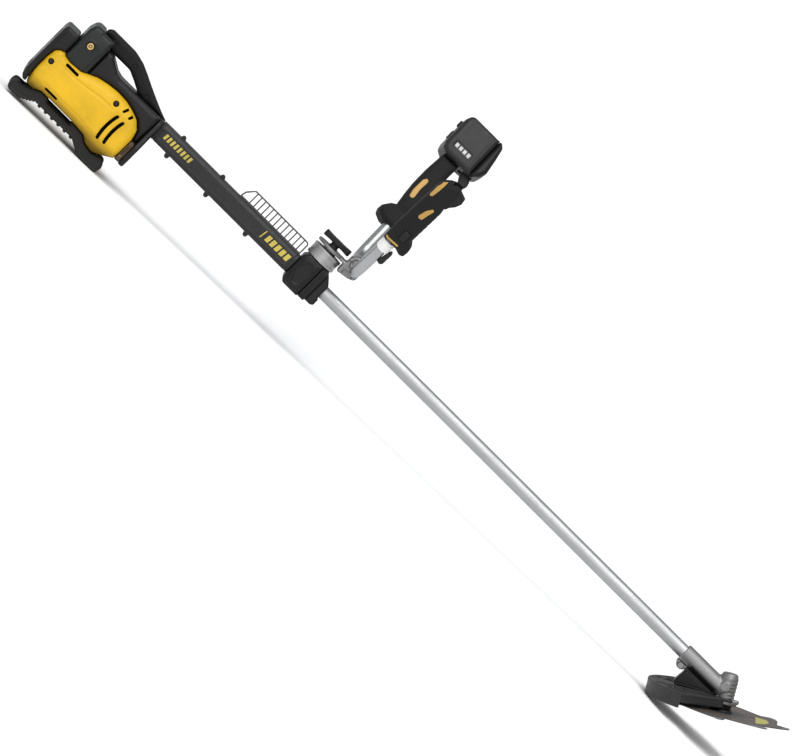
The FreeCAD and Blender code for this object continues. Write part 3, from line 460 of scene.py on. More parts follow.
def plastic(name, col, rough=0.45, grain=2600.0, depth=0.12, dust=0.0, spec=0.5, coat=0.0, crease_shade=0.0, bottom_shade=None):
    """Spark-eroded moulded plastic: fine grain in the bump, uneven gloss, faint handling marks, painted shade in
    creases, and painted shade darkening towards the bottom when the last argument gives its band.
    """
    m, nt, b = base_mat(name)
    co = N(nt, "ShaderNodeTexCoord").outputs["Object"]
    big = noise(nt, co, 14, 4, 0.6)
    mid = noise(nt, co, 120, 3)
    fine = noise(nt, co, grain, 2, 0.5)
    c = ramp(nt, big, [(0.30, shade(col, 0.80)), (0.50, col), (0.72, shade(col, 1.12))])
    if dust:
        wear = ramp(nt, mid, [(0.52, 0.0), (0.75, 1.0)])
        c = mixc(nt, mathn(nt, "MULTIPLY", wear, dust), c, shade(col, 1.5))
    # corners rubbed a little lighter as wear; creases darkened as painted shade
    pt = N(nt, "ShaderNodeNewGeometry").outputs["Pointiness"]
    rub = mathn(nt, "MULTIPLY", maprange(nt, pt, 0.53, 0.62, 0.0, 0.5), maprange(nt, mid, 0.40, 0.60, 0.2, 1.0))
    c = mixc(nt, rub, c, tuple(min(1.0, v * 1.25 + 0.02) for v in col))
    # painted shade in creases: concave spots mixed towards 30% of the colour
    c = mixc(nt, maprange(nt, pt, 0.485, 0.42, 0.0, max(0.35, crease_shade)), c, tuple(v * 0.30 for v in col))
    # painted shade: darker towards the bottom of the part, mixed towards 18% of the colour across the given band of
    # heights
    if bottom_shade:
        p0, p1 = to_row([(235, 0, bottom_shade[0])])[0], to_row([(235, 0, bottom_shade[1])])[0]
        ln = float(np.linalg.norm(np.array(p1) - np.array(p0)))
        sub = N(nt, "ShaderNodeVectorMath")
        sub.operation = "SUBTRACT"
        sub.inputs[1].default_value = tuple(p0)
        nt.links.new(co, sub.inputs[0])
        dot = N(nt, "ShaderNodeVectorMath")
        dot.operation = "DOT_PRODUCT"
        dot.inputs[1].default_value = tuple((np.array(p1) - np.array(p0)) / ln)
        nt.links.new(sub.outputs[0], dot.inputs[0])
        dep = mathn(nt, "ADD", dot.outputs["Value"], maprange(nt, big, 0.3, 0.7, -0.003, 0.003))
        c = mixc(nt, maprange(nt, dep, 0.0, ln, 0.0, bottom_shade[2]), c, tuple(v * 0.18 for v in col))
    nt.links.new(c, b.inputs["Base Color"])
    r = mathn(nt, "ADD", maprange(nt, mid, 0.3, 0.7, rough - 0.06, rough + 0.06), maprange(nt, fine, 0.3, 0.7, -0.05, 0.05))
    nt.links.new(r, b.inputs["Roughness"])
    b.inputs["Specular IOR Level"].default_value = spec
    if coat:
        b.inputs["Coat Weight"].default_value = coat
        b.inputs["Coat Roughness"].default_value = 0.15
    bump(nt, b, fine, depth, 0.0004)
    return m


def rubber(name, col, rough=0.7):
    """Soft overmould with a fine diamond grain."""
    m, nt, b = base_mat(name)
    co = N(nt, "ShaderNodeTexCoord").outputs["Object"]
    big = noise(nt, co, 20, 4)
    c = ramp(nt, big, [(0.3, shade(col, 0.85)), (0.7, shade(col, 1.15))])
    nt.links.new(c, b.inputs["Base Color"])
    sep = N(nt, "ShaderNodeSeparateXYZ")
    nt.links.new(co, sep.inputs[0])
    u = mathn(nt, "MULTIPLY", mathn(nt, "ADD", sep.outputs[0], sep.outputs[2]), 2100.0)
    v = mathn(nt, "MULTIPLY", mathn(nt, "SUBTRACT", sep.outputs[0], sep.outputs[2]), 2100.0)
    dia = mathn(nt, "MULTIPLY", mathn(nt, "SINE", u), mathn(nt, "SINE", v))
    fine = noise(nt, co, 1800, 2)
    hgt = mathn(nt, "ADD", mathn(nt, "MULTIPLY", dia, 0.6), fine)
    nt.links.new(maprange(nt, big, 0.3, 0.7, rough - 0.07, rough + 0.07), b.inputs["Roughness"])
    b.inputs["Specular IOR Level"].default_value = 0.17
    bump(nt, b, hgt, 0.3, 0.0004)
    return m


def metal(name, col, rough=0.3, brushed=None, cast=0.0, dark=0.0):
    """Anodised, brushed or cast metal. brushed is the stretch of its grain, cast the depth of its skin."""
    m, nt, b = base_mat(name)
    co = N(nt, "ShaderNodeTexCoord").outputs["Object"]
    big = noise(nt, co, 9, 4, 0.6)
    c = ramp(nt, big, [(0.3, shade(col, 0.9)), (0.7, shade(col, 1.06))])
    b.inputs["Metallic"].default_value = 1.0
    if brushed:
        g = noise(nt, co, 700, 3, 0.6, brushed)
        c = mixc(nt, maprange(nt, g, 0.35, 0.65, 0.0, 0.22), c, shade(col, 0.7))
        nt.links.new(maprange(nt, g, 0.3, 0.7, rough - 0.07, rough + 0.09), b.inputs["Roughness"])
        bump(nt, b, g, 0.05, 0.0003)
    else:
        g = noise(nt, co, 520, 5, 0.7)
        nt.links.new(maprange(nt, g, 0.3, 0.7, rough - 0.06, rough + 0.08), b.inputs["Roughness"])
        bump(nt, b, g, 0.1 + cast, 0.0005)
    nt.links.new(c, b.inputs["Base Color"])
    return m


M = {
    # the yellow shell's colour carries painted shade in its creases and towards its lower edge
    "yellow": plastic("yellow_nylon", (0.62, 0.372, 0.012), 0.44, 2400, 0.12, 0.0, 0.22, 0.0, 0.62, bottom_shade=(-80, -101, 0.9)),
    "black": plastic("black_nylon", (0.0060, 0.0052, 0.0052), 0.42, 2200, 0.2, 0.35, 0.25),
    "black2": plastic("black_nylon_matt", (0.0098, 0.0094, 0.0090), 0.52, 2000, 0.22, 0.3, 0.24),
    "grey": plastic("dark_grey_nylon", (0.0068, 0.0085, 0.0073), 0.42, 2200, 0.18, 0.3, 0.29),
    "rubber": rubber("black_rubber", (0.0105, 0.0102, 0.0100)),
    "gold": plastic("gold_inlay", (0.42, 0.245, 0.050), 0.42, 1600, 0.14),
    "goldprint": plastic("gold_print", (0.42, 0.33, 0.045), 0.5, 2600, 0.05),
    "alu": metal("anodised_tube", (0.40, 0.402, 0.408), 0.42, brushed=(0.04, 1, 1)),
    "cast": metal("cast_aluminium", (0.225, 0.220, 0.220), 0.50, cast=0.3),
    "castbright": metal("cast_base", (0.36, 0.355, 0.355), 0.46, cast=0.2),
    "steel": metal("zinc_steel", (0.24, 0.245, 0.25), 0.32, brushed=(1, 1, 0.08)),
    "darksteel": metal("black_oxide_steel", (0.030, 0.030, 0.032), 0.40, cast=0.05),
    "brass": metal("passivated_brass", (0.55, 0.38, 0.15), 0.32, cast=0.02),
    "white": plastic("white_nylon", (0.72, 0.72, 0.71), 0.22, 2400, 0.05, 0.0, 0.5, 0.3),
    "gaugegrey": plastic("gauge_print", (0.42, 0.42, 0.42), 0.4, 2400, 0.05),
    "shroudblack": plastic("shroud_nylon", (0.0118, 0.0116, 0.0114), 0.44, 2200, 0.2, 0.35, 0.32),
    "guardgrey": plastic("guard_nylon", (0.0170, 0.0165, 0.0165), 0.48, 2000, 0.22, 0.35, 0.32),
    "castdark": metal("cast_plate", (0.095, 0.070, 0.045), 0.5, cast=0.2),
    # near-black for the painted shade inside the vent and slot openings
    "shade_black": plastic("vent_shadow", (0.003, 0.003, 0.003), 0.8, 2000, 0.1, 0.0, 0.1),
    "bar": metal("satin_bar", (0.40, 0.405, 0.41), 0.34, brushed=(1, 1, 0.06)),
    "ladder": metal("dark_zinc", (0.085, 0.085, 0.09), 0.34, cast=0.02),
    "wrap": plastic("cell_wrap", (0.05, 0.14, 0.1), 0.35),
}

SLOT_MAT = {
    "yellow_plastic": "yellow", "black_plastic": "black", "dark_grey_plastic": "grey", "black_rubber": "rubber", "gold_trim": "gold", "aluminium": "alu",
    "cast_aluminium": "cast", "brass": "brass", "steel": "steel", "black_steel": "darksteel", "cell_wrap": "wrap",
}
for sp in frame["record"]["subparts"]:
    o = NODES[sp["node"]]
    mat = M[SLOT_MAT[sp["material_slot"]]]
    o.data.materials.clear()
    o.data.materials.append(mat)
NODES["right_collar"].data.materials[0] = M["white"]
NODES["harness_rungs"].data.materials[0] = M["ladder"]
NODES["harness_rails"].data.materials[0] = M["ladder"]
NODES["handlebar"].data.materials[0] = M["bar"]

# ---- power head ---------------------------------------------------------------------
HOUSING = [
    (134, -104.8, 5), (130.2, -92, 8), (128.6, -70, 20), (128.6, -45, 20), (130.6, -27, 7), (137, -19.4, 5), (146, -16.8, 2),
    (151, -21.5, 6), (165, -24.2, 12), (190, -22.2, 8), (201, -17.4, 6), (220, -9, 20), (240, -4.6, 20), (262, -2, 30),
    (285, -3, 20), (305, -8, 16), (321, -14, 14), (335, -28, 14), (339.6, -46, 14), (339.6, -92, 5), (322, -102, 12),
    (303, -112, 10), (285, -108.5, 8), (272, -99, 8), (245, -97, 10), (165, -97, 8), (151, -104, 8),
]


def housing_field(X, Y, Z):
    d2 = poly(X, Z, HOUSING, 4)
    crown = 66 - 0.0011 * (Z + 58) ** 2 - 0.00014 * (X - 235) ** 2
    crown = crown - 0.011 * np.maximum(-Z - 76, 0) ** 2 - 0.009 * np.maximum(Z + 31, 0) ** 2
    d = extr(d2, np.abs(Y) - crown, 14)
    # a soft waist along the side, where the face steps in below the motor cover
    swell = np.exp(-((Z + 90) / 7.0) ** 2) * 1.2
    top_l = -37.5 + 0.00016 * (X - 215) ** 2 + 9.0 * np.exp(-((X - 262) / 46.0) ** 2)
    low_l = -81.5 - 5.0 * np.exp(-((X - 295) / 30.0) ** 2)
    side = np.clip((np.abs(Y) - 36) / 8.0, 0, 1)
    fade = np.clip((X - 150) / 14.0, 0, 1) * np.clip((282 - X) / 14.0, 0, 1)
    d = d + side * fade * (1.5 * np.exp(-((Z - top_l) / 2.1) ** 2) + 1.5 * np.exp(-((Z - low_l) / 2.1) ** 2))
    d = d + side * 1.0 * np.clip((X - 283) / 4.0, 0, 1) * np.clip((324 - X) / 6.0, 0, 1) * np.clip((Z + 94) / 5.0, 0, 1) * np.clip((-24 - Z) / 5.0, 0, 1)
    d = d + swell * (np.abs(Y) > 40)
    skin = d
    d = np.maximum(d, -(np.hypot(Y, Z) - 28.2))
    d = np.maximum(d, -(skin + 3.2))
    d = np.maximum(d, -rbox(X, Y, Z, 110, 152, -38.5, 38.5, -98.5, -31.5, 3))
    far = 50 - np.abs(Y)
    for xc, zc, hh, w, bow in ((289.0, -58, 25.5, 3.1, 0.0048), (304.3, -58, 23.5, 3.1, 0.0050)):
        cut = np.hypot(X - xc - bow * (Z - zc) ** 2, np.maximum(np.abs(Z - zc) - hh, 0)) - w
        d = smax(d, -np.maximum(cut, far), 0.8)
    for x0, z0, x1, z1 in ((298.0, -9.5, 294.0, -18), (312.6, -13.4, 309.4, -20)):
        t = np.clip(((X - x0) * (x1 - x0) + (Z - z0) * (z1 - z0)) / ((x1 - x0) ** 2 + (z1 - z0) ** 2), 0, 1)
        cut = np.hypot(X - x0 - t * (x1 - x0), Z - z0 - t * (z1 - z0)) - 2.3
        d = smax(d, -np.maximum(cut, far), 0.8)
    for x, z, a, b in ((177, -30.2, 12.4, 2.5), (180, -86.8, 12.4, 2.3)):
        cut = np.hypot(np.maximum(np.abs(X - x) - a, 0), Z - z) - b
        d = smax(d, -np.maximum(cut, 44 - np.abs(Y)), 0.4)
    for x, z in ((139.4, -45.4), (274.4, -17.6)):
        d = smax(d, -np.maximum(np.hypot(X - x, Z - z) - 5.4, 56 - np.abs(Y)), 1.2)
    # the seam between the halves is the gap the two field calls below leave at Y = 0
    return d


HB = (127, 341, -67.5, 0, -113.5, 0)
field("shell_right", lambda X, Y, Z: np.maximum(housing_field(X, Y, Z), Y + 0.12), HB, 1.35, M["yellow"], "frame", ["housing_right"])
field("shell_left", lambda X, Y, Z: np.maximum(housing_field(X, Y, Z), 0.12 - Y), (127, 341, 0, 67.5, -113.5, 0), 1.35, M["yellow"], "frame", ["housing_left"])

BOX = [(147.4, -20.4, 1), (147.4, 40, 8), (151.6, 53.5, 6), (158, 58.2, 5), (172, 58.2, 3), (174, 54.6, 1.5), (198, 54.6, 2),
       (199.8, 36, 3), (200.2, -20.2, 1), (190, -25.2, 8), (165, -27.2, 12), (151, -24.1, 6)]


def motor_box(X, Y, Z):
    d = extr(poly(X, Z, BOX, 2), np.abs(Y) - (54 - 0.0042 * np.maximum(Z - 26, 0) ** 2), 8)
    d = smin(d, cylx(X, Y, Z, 147.6, 200, 27.8, rr=1), 1.5)
    d = np.maximum(d, -cylx(X, Y, Z, 150.6, 230, 24.6))
    d = np.maximum(d, -rbox(X, Y, Z, 152, 196, -50, -31, -14, 48, 3))
    d = np.maximum(d, -rbox(X, Y, Z, 152, 196, 31, 50, -14, 48, 3))
    # groove down the side ahead of the cover, and the screw's seat
    g = np.maximum(np.hypot(X - 193.6, np.maximum(np.abs(Z - 0) - 19, 0)) - 1.5, 52.4 - np.abs(Y))
    d = smax(d, -g, 1.0)
    d = smax(d, -np.maximum(np.hypot(X - 170.6, Z - 21.8) - 7.6, 53.0 - np.abs(Y)), 0.6)
    d = smin(d, np.maximum(np.abs(np.hypot(X - 170.6, Z - 21.8) - 10.2) - 1.0, np.abs(np.abs(Y) - 54) - 0.7), 1.2)
    return d


field("motor_cover", motor_box, (147, 200.5, -55, 55, -28.5, 59), 1.2, M["grey"], "frame", ["motor_housing"])

TOP = [(200.4, -19.6, 1), (200.4, 37.2, 2), (213, 37.2, 4), (222, 30.5, 8), (240, 20, 12), (252, 17.2, 10), (349.6, 17.2, 1), (349.6, -44.6, 1),
       (340, -44.6, 1), (335.4, -27.7, 10), (321.3, -13.6, 12), (305, -7.6, 14), (285, -2.6, 16), (262, -1.6, 20), (240, -4.8, 16), (220, -10.6, 16)]


def top_frame(X, Y, Z):
    d = extr(poly(X, Z, TOP, 2), np.abs(Y) - 46, 8)
    keel = np.maximum(cylx(X, Y, Z, 200.4, 349.6, 27.8), Z - 6)
    d = smin(d, keel, 2)
    d = np.maximum(d, -cylx(X, Y, Z, 190, 262, 14.5))
    d = np.maximum(d, -cylx(X, Y, Z, 190, 219, 24.4))
    d = np.maximum(d, -(np.hypot(Y, Z) - 12.8))
    for s in (-1, 1):
        a, b = (24, 42) if s > 0 else (-42, -24)
        d = np.maximum(d, -rbox(X, Y, Z, 214, 338, a, b, -60, 12, 2))
    # two sunk lines along the flank
    for z0 in (12.0,):
        g = np.hypot(np.maximum(np.abs(X - 292) - 44, 0), Z - z0 + 0.0 * X) - 0.9
        d = smax(d, -np.maximum(g, 44.6 - np.abs(Y)), 0.6)
    g = np.maximum(np.abs(poly(X, Z, TOP, 2) + 6.5) - 0.7, 45.2 - np.abs(Y))
    d = smax(d, -np.maximum(g, X - 246), 0.5)
    return d


field("upper_frame", top_frame, (200, 350, -47, 47, -45.5, 38), 1.35, M["black"], "frame", ["top_frame"])

HANDLE = [(173.6, 55.2, 4), (173.6, 62, 7), (181, 68.2, 8), (236, 68.2, 30), (260, 62.5, 30), (280, 53.5, 40), (300, 43.6, 40), (320, 34.4, 40),
          (340, 25.6, 40), (356, 19.4, 10), (361, 18.2, 1), (361, 17.6, 0), (289, 17.6, 2), (285, 21, 5), (270, 29, 14), (251, 37.6, 12), (200.2, 37.6, 2), (200, 55.0, 1)]


def carry(X, Y, Z):
    d2 = poly(X, Z, HANDLE, 3)
    half = 16 - 1.5 * np.exp(-((X - 240) / 34.0) ** 2)
    d = extr(d2, np.abs(Y) - half, 8.5)
    # screw seats and a rib line along the grip
    for x, z in ((253, 49), (306, 25.5)):
        d = smax(d, -np.maximum(np.hypot(X - x, Z - z) - 4.4, 13.6 - np.abs(Y)), 0.8)
    seam = np.maximum(np.abs(d2 + 5.6) - 0.55, half - 1.0 - np.abs(Y))
    d = smax(d, -seam, 0.5)
    d = smin(d, rbox(X, Y, Z, 176, 203, -13.5, 13.5, 55.2, 62, 2), 2)
    d = smin(d, rbox(X, Y, Z, 192, 208, -13.8, 13.8, 42, 62, 3), 3)
    return d


field("handle_loop", carry, (173, 361.5, -17, 17, 17, 69), 1.0, M["rubber"], "frame", ["carry_handle"])


def front_slab(X, Y, Z):
    pts = [(-52, -92, 8), (52, -92, 8), (58, -78, 8), (58, -50, 12), (46, -20, 14), (40, 8, 14), (30, 17.4, 8), (-30, 17.4, 8), (-40, 8, 14), (-46, -20, 14), (-58, -50, 12), (-58, -78, 8)]
    d2 = poly(Y, Z, pts, 6)
    d = extr(d2, np.abs(X - 355.6) - 5.4, 3.2)
    d = np.maximum(d, -(np.hypot(Y, Z) - 12.8))
    # ribs spread from the boom socket
    for a in (-60, -90, -120, -30, -150):
        ca, sa = math.cos(math.radians(a)), math.sin(math.radians(a))
        t = Y * ca + Z * sa
        w = np.abs(-Y * sa + Z * ca)
        pit = np.maximum(np.maximum(w - 5.0, np.abs(t - 44) - 14), 359.4 - X)
        d = smax(d, -np.maximum(pit, d2 + 7), 1.0)
    return d


field("front_slab", front_slab, (349.8, 361.4, -59, 59, -93, 19), 1.1, M["black"], "frame", ["front_frame"])


def plate(X, Y, Z):
    pts = [(-52, -90), (52, -90), (56, -80), (56, -54), (50, -44.9), (-50, -44.9), (-56, -54), (-56, -80)]
    d = extr(poly(Y, Z, pts, 3), np.abs(X - 344.9) - 4.9, 1.4)
    for z in (-51, -84):
        d = smin(d, extr(np.hypot(X - 344.9, Z - z) - 4.8, np.abs(Y) - 57.4, 1.0), 2)
    d = smax(d, -np.maximum(np.abs(X - 344.9) - 1.6, np.maximum(np.abs(Z + 67.5) - 9, 53.5 - np.abs(Y))), 0.8)
    return d


field("end_casting", plate, (339.8, 350, -58.2, 58.2, -91, -44.5), 1.0, M["castdark"], "frame", ["end_plate"])


def floor_z(x):
    return FZ0 + (x - FX0) * (FZ1 - FZ0) / (FX1 - FX0)


SKID = [(113.2, -124, 8), (115, -115, 6), (121, -112.6, 5), (136, -112.6, 12), (150, -105.6, 8), (158, -101.6, 8), (166.5, -97.5, 3), (184, -97.5, 1.5),
        (185.5, -104.6, 3), (244, -104.6, 3), (246, -97.6, 1.5), (263, -98.9, 2), (272, -100, 8), (285, -109.3, 8), (303, -113, 10), (322, -108.6, 8), (333, -110, 8), (337.4, -120, 8),
        (334, floor_z(334), 6), (300, floor_z(300), 10), (285, -131.6, 12), (262, -118.4, 12), (172, -118.4, 10), (160, -127, 12), (146, -133.6, 12), (120, -135, 8), (114.4, -131, 6)]


def stand(X, Y, Z):
    d2 = poly(X, Z, SKID, 4)
    d = extr(d2, np.abs(np.abs(Y) - 35) - 10, 4.5)
    for x, z, r in ((126, -123.5, 8.5), (318, -121, 8.5)):
        d = smin(d, np.maximum(np.hypot(X - x, Z - z) - r, np.abs(Y) - 30), 3)
    d = smin(d, rbox(X, Y, Z, 168, 182, -30, 30, -110, -99, 2), 2)
    d = smin(d, rbox(X, Y, Z, 248, 262, -30, 30, -112, -100, 2), 2)
    for i in range(6):
        x = 181.5 + 15.6 * i
        d = smin(d, rbox(X, Y, Z, x - 3, x + 3, -43, 43, -121.4, -112, 1.2) + 50 * (np.abs(Y) < 27), 1.2)
    # sunk panel on the outer flanks, and treads under the feet's tips
    g = np.maximum(d2 + 4.0, 43.7 - np.abs(Y))
    d = smax(d, -g, 0.8)
    for i in range(5):
        x = 150 + 5.2 * i
        g = np.hypot(X - x, Z + 131.5 - (x - 150) * 0.62) - 1.1
        d = smax(d, -g, 0.6)
    # stays on the floor
    d = np.maximum(d, floor_z(0) + X * (FZ1 - FZ0) / (FX1 - FX0) - Z)
    return d


field("stand_skids", stand, (112.5, 338, -46, 46, -136, -97), 1.2, M["black2"], "frame", ["stand"])

SLAB = [(117.5, 21, 5), (143.4, 21, 4), (146.6, 18, 3), (146.6, -18.6, 1), (136.6, -21.8, 2), (129.8, -28.4, 3), (127.9, -45, 10), (127.9, -70, 10), (129.4, -92, 6), (131.6, -103, 2), (124.6, -103.8, 4),
        (118.0, -97, 7), (115.2, -84, 10), (114.8, -52, 14), (114.8, 12, 8)]


def battery(X, Y, Z):
    d = extr(poly(X, Z, SLAB, 2), np.abs(Y) - 58, 7)
    d = np.minimum(d, extr(poly(X, Z, [(119.6, -72, 1), (127.6, -76, 1), (129.2, -92, 1), (131.4, -103, 1.5), (126.6, -103.4, 1.5)], 0), np.abs(Y) - 50, 1.0))
    d = smin(d, rbox(X, Y, Z, 120, 240, -37.5, 37.5, -93.2, -32.5, 2), 1)
    d = np.maximum(d, -rbox(X, Y, Z, 136, 236.5, -34.5, 34.5, -91.4, -35.5))
    d = np.maximum(d, -cylx(X, Y, Z, 144, 152, 28.6))
    d = np.maximum(d, -rbox(X, Y, Z, 100, 129, -19, 19, -16, 4, 1.5))
    d = np.maximum(d, -rbox(X, Y, Z, 236, 244, -22, 22, -72, -58, 0.5))
    for s in (-1, 1):
        d = smax(d, -cyly(X, Y, Z, s * 24 - 14, s * 24 + 14, 7, 112.0, -76, 2), 1.5)
    for i in range(8):                         # grooves across the back and round the flanks
        z = 12 - i * 8.4
        if -20 < z < 8:
            g = np.hypot(X - (114.6 + 0.3), Z - z) - 0.9 + 50 * (np.abs(Y) < 23)
        else:
            g = np.hypot(X - (114.6 + 0.3), Z - z) - 0.9
        d = smax(d, -np.maximum(g, np.abs(Y) - 48), 0.6)
    g = np.maximum(np.maximum(np.abs(X - 122.8) - 0.7, 56.9 - np.abs(Y)), np.abs(Z + 25) - 40)
    return smax(d, -g, 0.5)


field("battery_pack", battery, (114, 241, -59, 59, -104.6, 22), 1.25, M["black"], "battery", ["battery_case"])
field("battery_catch", lambda X, Y, Z: smax(rbox(X, Y, Z, 115.6, 123.4, -18.5, 18.5, -15.5, 3.5, 1.6),
      -(np.hypot(X - 112.6, np.maximum(np.abs(Z + 6) - 3, 0)) - 3.6), 0.8), (115, 124, -19, 19, -16, 4), 0.7, M["grey"], "latch", ["battery_latch"])

for s_, tag in ((-1, "right"), (1, "left")):
    def ring(X, Y, Z, s_=s_):
        y = s_ * Y
        r = np.hypot(X - 170.6, Z - 21.8)
        d = extr(r - 6.2, np.abs(y - 54.2) - 1.0, 0.5)
        d = smax(d, -np.maximum(r - 3.4, 53.9 - y), 0.4)
        return np.maximum(d, 53.2 - y)
    field("ring_trim_" + tag, ring, (164, 177.4, *( (-55.4, -53) if s_ < 0 else (53, 55.4)), 15.2, 28.6), 0.42, M["brass"], "frame", ["ring_screws"] if s_ < 0 else ())

    def core(X, Y, Z, s_=s_):
        y = s_ * Y
        h = np.maximum(np.abs(X - 170.6), np.maximum(np.abs(0.5 * (X - 170.6) + 0.8660254 * (Z - 21.8)), np.abs(0.5 * (X - 170.6) - 0.8660254 * (Z - 21.8)))) - 1.7
        d = np.maximum(np.hypot(X - 170.6, Z - 21.8) - 3.5, np.abs(y - 53.1) - 0.9)
        return np.maximum(d, -np.maximum(h, 53.2 - y))
    field("ring_core_" + tag, core, (166.6, 174.6, *( (-54.2, -52) if s_ < 0 else (52, 54.2)), 17.8, 25.8), 0.4, M["darksteel"], "frame", ())

    # near-black louvred sheet behind the vents: painted shade in the vent openings
    def shade_sheet(X, Y, Z, s_=s_):
        y = s_ * Y
        d = rbox(X, y, Z, 284, 326, 48.6, 50.2, -94, -8, 0.6)
        for i in range(8):
            z = -88 + i * 10.4
            d = smin(d, rbox(X, y, Z, 286, 324, 50, 54.4, z - 0.8, z + 0.8, 0.5), 0.6)
        return np.maximum(d, poly(X, Z, HOUSING, 4) + 8)
    field("vent_baffle_" + tag, shade_sheet, (283, 327, *( (-55, -48) if s_ < 0 else (48, 55)), -95, -7), 0.9, M["shade_black"], "frame", ())

    # near-black strips behind the two long slots: painted shade in the slot openings
    def shade_strip(X, Y, Z, s_=s_):
        y = s_ * Y
        return np.minimum(rbox(X, y, Z, 160, 196, 50, 52.4, -37, -27, 0.8), rbox(X, y, Z, 162, 198, 50, 52.4, -93, -81, 0.8))
    field("slot_liner_" + tag, shade_strip, (159, 199, *( (-53, -49) if s_ < 0 else (49, 53)), -94, -26), 0.8, M["shade_black"], "frame", ())

heads = [(x, z, yy, s_, 4.6) for x, z, yy in ((139.4, -45.4, 62.0), (274.4, -17.6, 60.2)) for s_ in (-1, 1)]
heads += [(x, z, 14.4, s_, 3.4) for x, z in ((253, 49), (306, 25.5)) for s_ in (-1, 1)]
heads += [(345, z, 56.6, s_, 3.4) for z in (-52, -84) for s_ in (-1, 1)]
v, f = [], []
for x, z, yy, s_, rad in heads:
    prof = [(rad, -3.0), (rad, -0.7), (rad * 0.86, 0.0), (rad * 0.52, 0.2), (rad * 0.52, -1.6), (0.02, -1.7)]
    k0, n_, m_ = len(v), len(prof), 24
    for i in range(m_):
        a = 2 * math.pi * i / m_
        for j, (r, hgt) in enumerate(prof):
            if 3 <= j <= 4:
                r = r * (1.0 if i % 4 < 2 else 0.84)
            v.append((x + r * math.cos(a), s_ * (yy + hgt), z + r * math.sin(a)))
    for i in range(m_):
        for j in range(n_ - 1):
            q = [k0 + i * n_ + j, k0 + ((i + 1) % m_) * n_ + j, k0 + ((i + 1) % m_) * n_ + j + 1, k0 + i * n_ + j + 1]
            f.append(q)
o = make("pan_head_screws", to_row(v), f, M["darksteel"], "frame", ["body_screws"])
bm = bmesh.new()
bm.from_mesh(o.data)
bmesh.ops.recalc_face_normals(bm, faces=bm.faces)
bm.to_mesh(o.data)
bm.free()
sharpen(o, 32)

# ---- boom shroud --------------------------------------------------------------------
SEC = [(-20, -21), (20, -21), (23, -12), (23, 9), (17, 17.6), (-17, 17.6), (-23, 9), (-23, -12)]
BOSS = [(405, 19.0), (503, 19.0), (405, -24.6), (503, -24.6), (602, -24.6)]


def shroud(X, Y, Z):
    d2 = poly(Y, Z, SEC, 7)
    d = extr(d2, np.abs(X - 530.5) - 169.2, 1.2)
    for x, z in BOSS:
        s = 1 if z > 0 else -1
        b = np.hypot(X - x, np.minimum(s * (Z - z), 0) * 0 + np.where(s * (Z - z) < 0, 0, Z - z)) - 4.6
        b = np.maximum(np.maximum(b, np.abs(Y) - 9), np.abs(Z - z) - 12)
        d = smin(d, b, 2.4)
        d = smax(d, -np.maximum(np.hypot(X - x, Z - z) - 3.3, -9.6 - Y if False else 8.2 - np.abs(Y)), 0.5)
    # sunk flanks and the parting line along the top and bottom
    rec = np.maximum(np.maximum(np.abs(Z + 1.5) - 10.5, np.abs(X - 530.5) - 160), 22.2 - np.abs(Y))
    d = smax(d, -rec, 0.9)
    d = smax(d, -np.maximum(np.abs(Y) - 0.5, -d2 - 0.8), 0.4)
    for x in (366, 694):
        d = smax(d, -np.maximum(np.abs(X - x) - 0.7, -(d2 + 0.9)), 0.4)
    return np.maximum(d, -(np.hypot(Y, Z) - 12.8))


field("shroud_shell_right", lambda X, Y, Z: np.maximum(shroud(X, Y, Z), Y + 0.06), (361, 700, -23.5, 0, -30, 24.4), 1.15, M["shroudblack"], "frame", ["shroud_right"])
field("shroud_shell_left", lambda X, Y, Z: np.maximum(shroud(X, Y, Z), 0.06 - Y), (361, 700, 0, 23.5, -30, 24.4), 1.15, M["shroudblack"], "frame", ["shroud_left"])

# generic gold marks printed on the flanks, slanted bars only
for side_s, tag in ((-1, "right"), (1, "left")):
    bars = []
    for i in range(8):
        x = 377 + i * 8.4
        bars.append([(x, -5.2), (x + 5.0, -5.2), (x + 6.6, 5.8), (x + 1.6, 5.8)])
    for i in range(5):
        x = 632 + i * 11.6
        bars.append([(x, -6.5), (x + 8.2, -6.5), (x + 10.0, 6.5), (x + 1.8, 6.5)])
    bars.append([(622, -8.6), (624, -8.6), (626.6, 8.6), (624.6, 8.6)])
    v, f = [], []
    for q in bars:
        k = len(v)
        for t in (22.1, 22.55):
            v += [(p[0], side_s * t, p[1]) for p in q]
        f += [(k, k + 1, k + 2, k + 3)[::-1], (k + 4, k + 5, k + 6, k + 7)] + [(k + i, k + (i + 1) % 4, k + 4 + (i + 1) % 4, k + 4 + i) for i in range(4)]
    o = make("print_marks_" + tag, to_row(v), f, M["goldprint"], "frame", (), smooth=False)
    bm = bmesh.new()
    bm.from_mesh(o.data)
    bmesh.ops.recalc_face_normals(bm, faces=bm.faces)
    bm.to_mesh(o.data)
    bm.free()

# ---- collar block -------------------------------------------------------------------
COL = [(700.2, -28, 6), (707, -36.6, 6), (743, -36.6, 2), (743, 34.0, 2), (708, 34.0, 7), (700.2, 25, 7)]


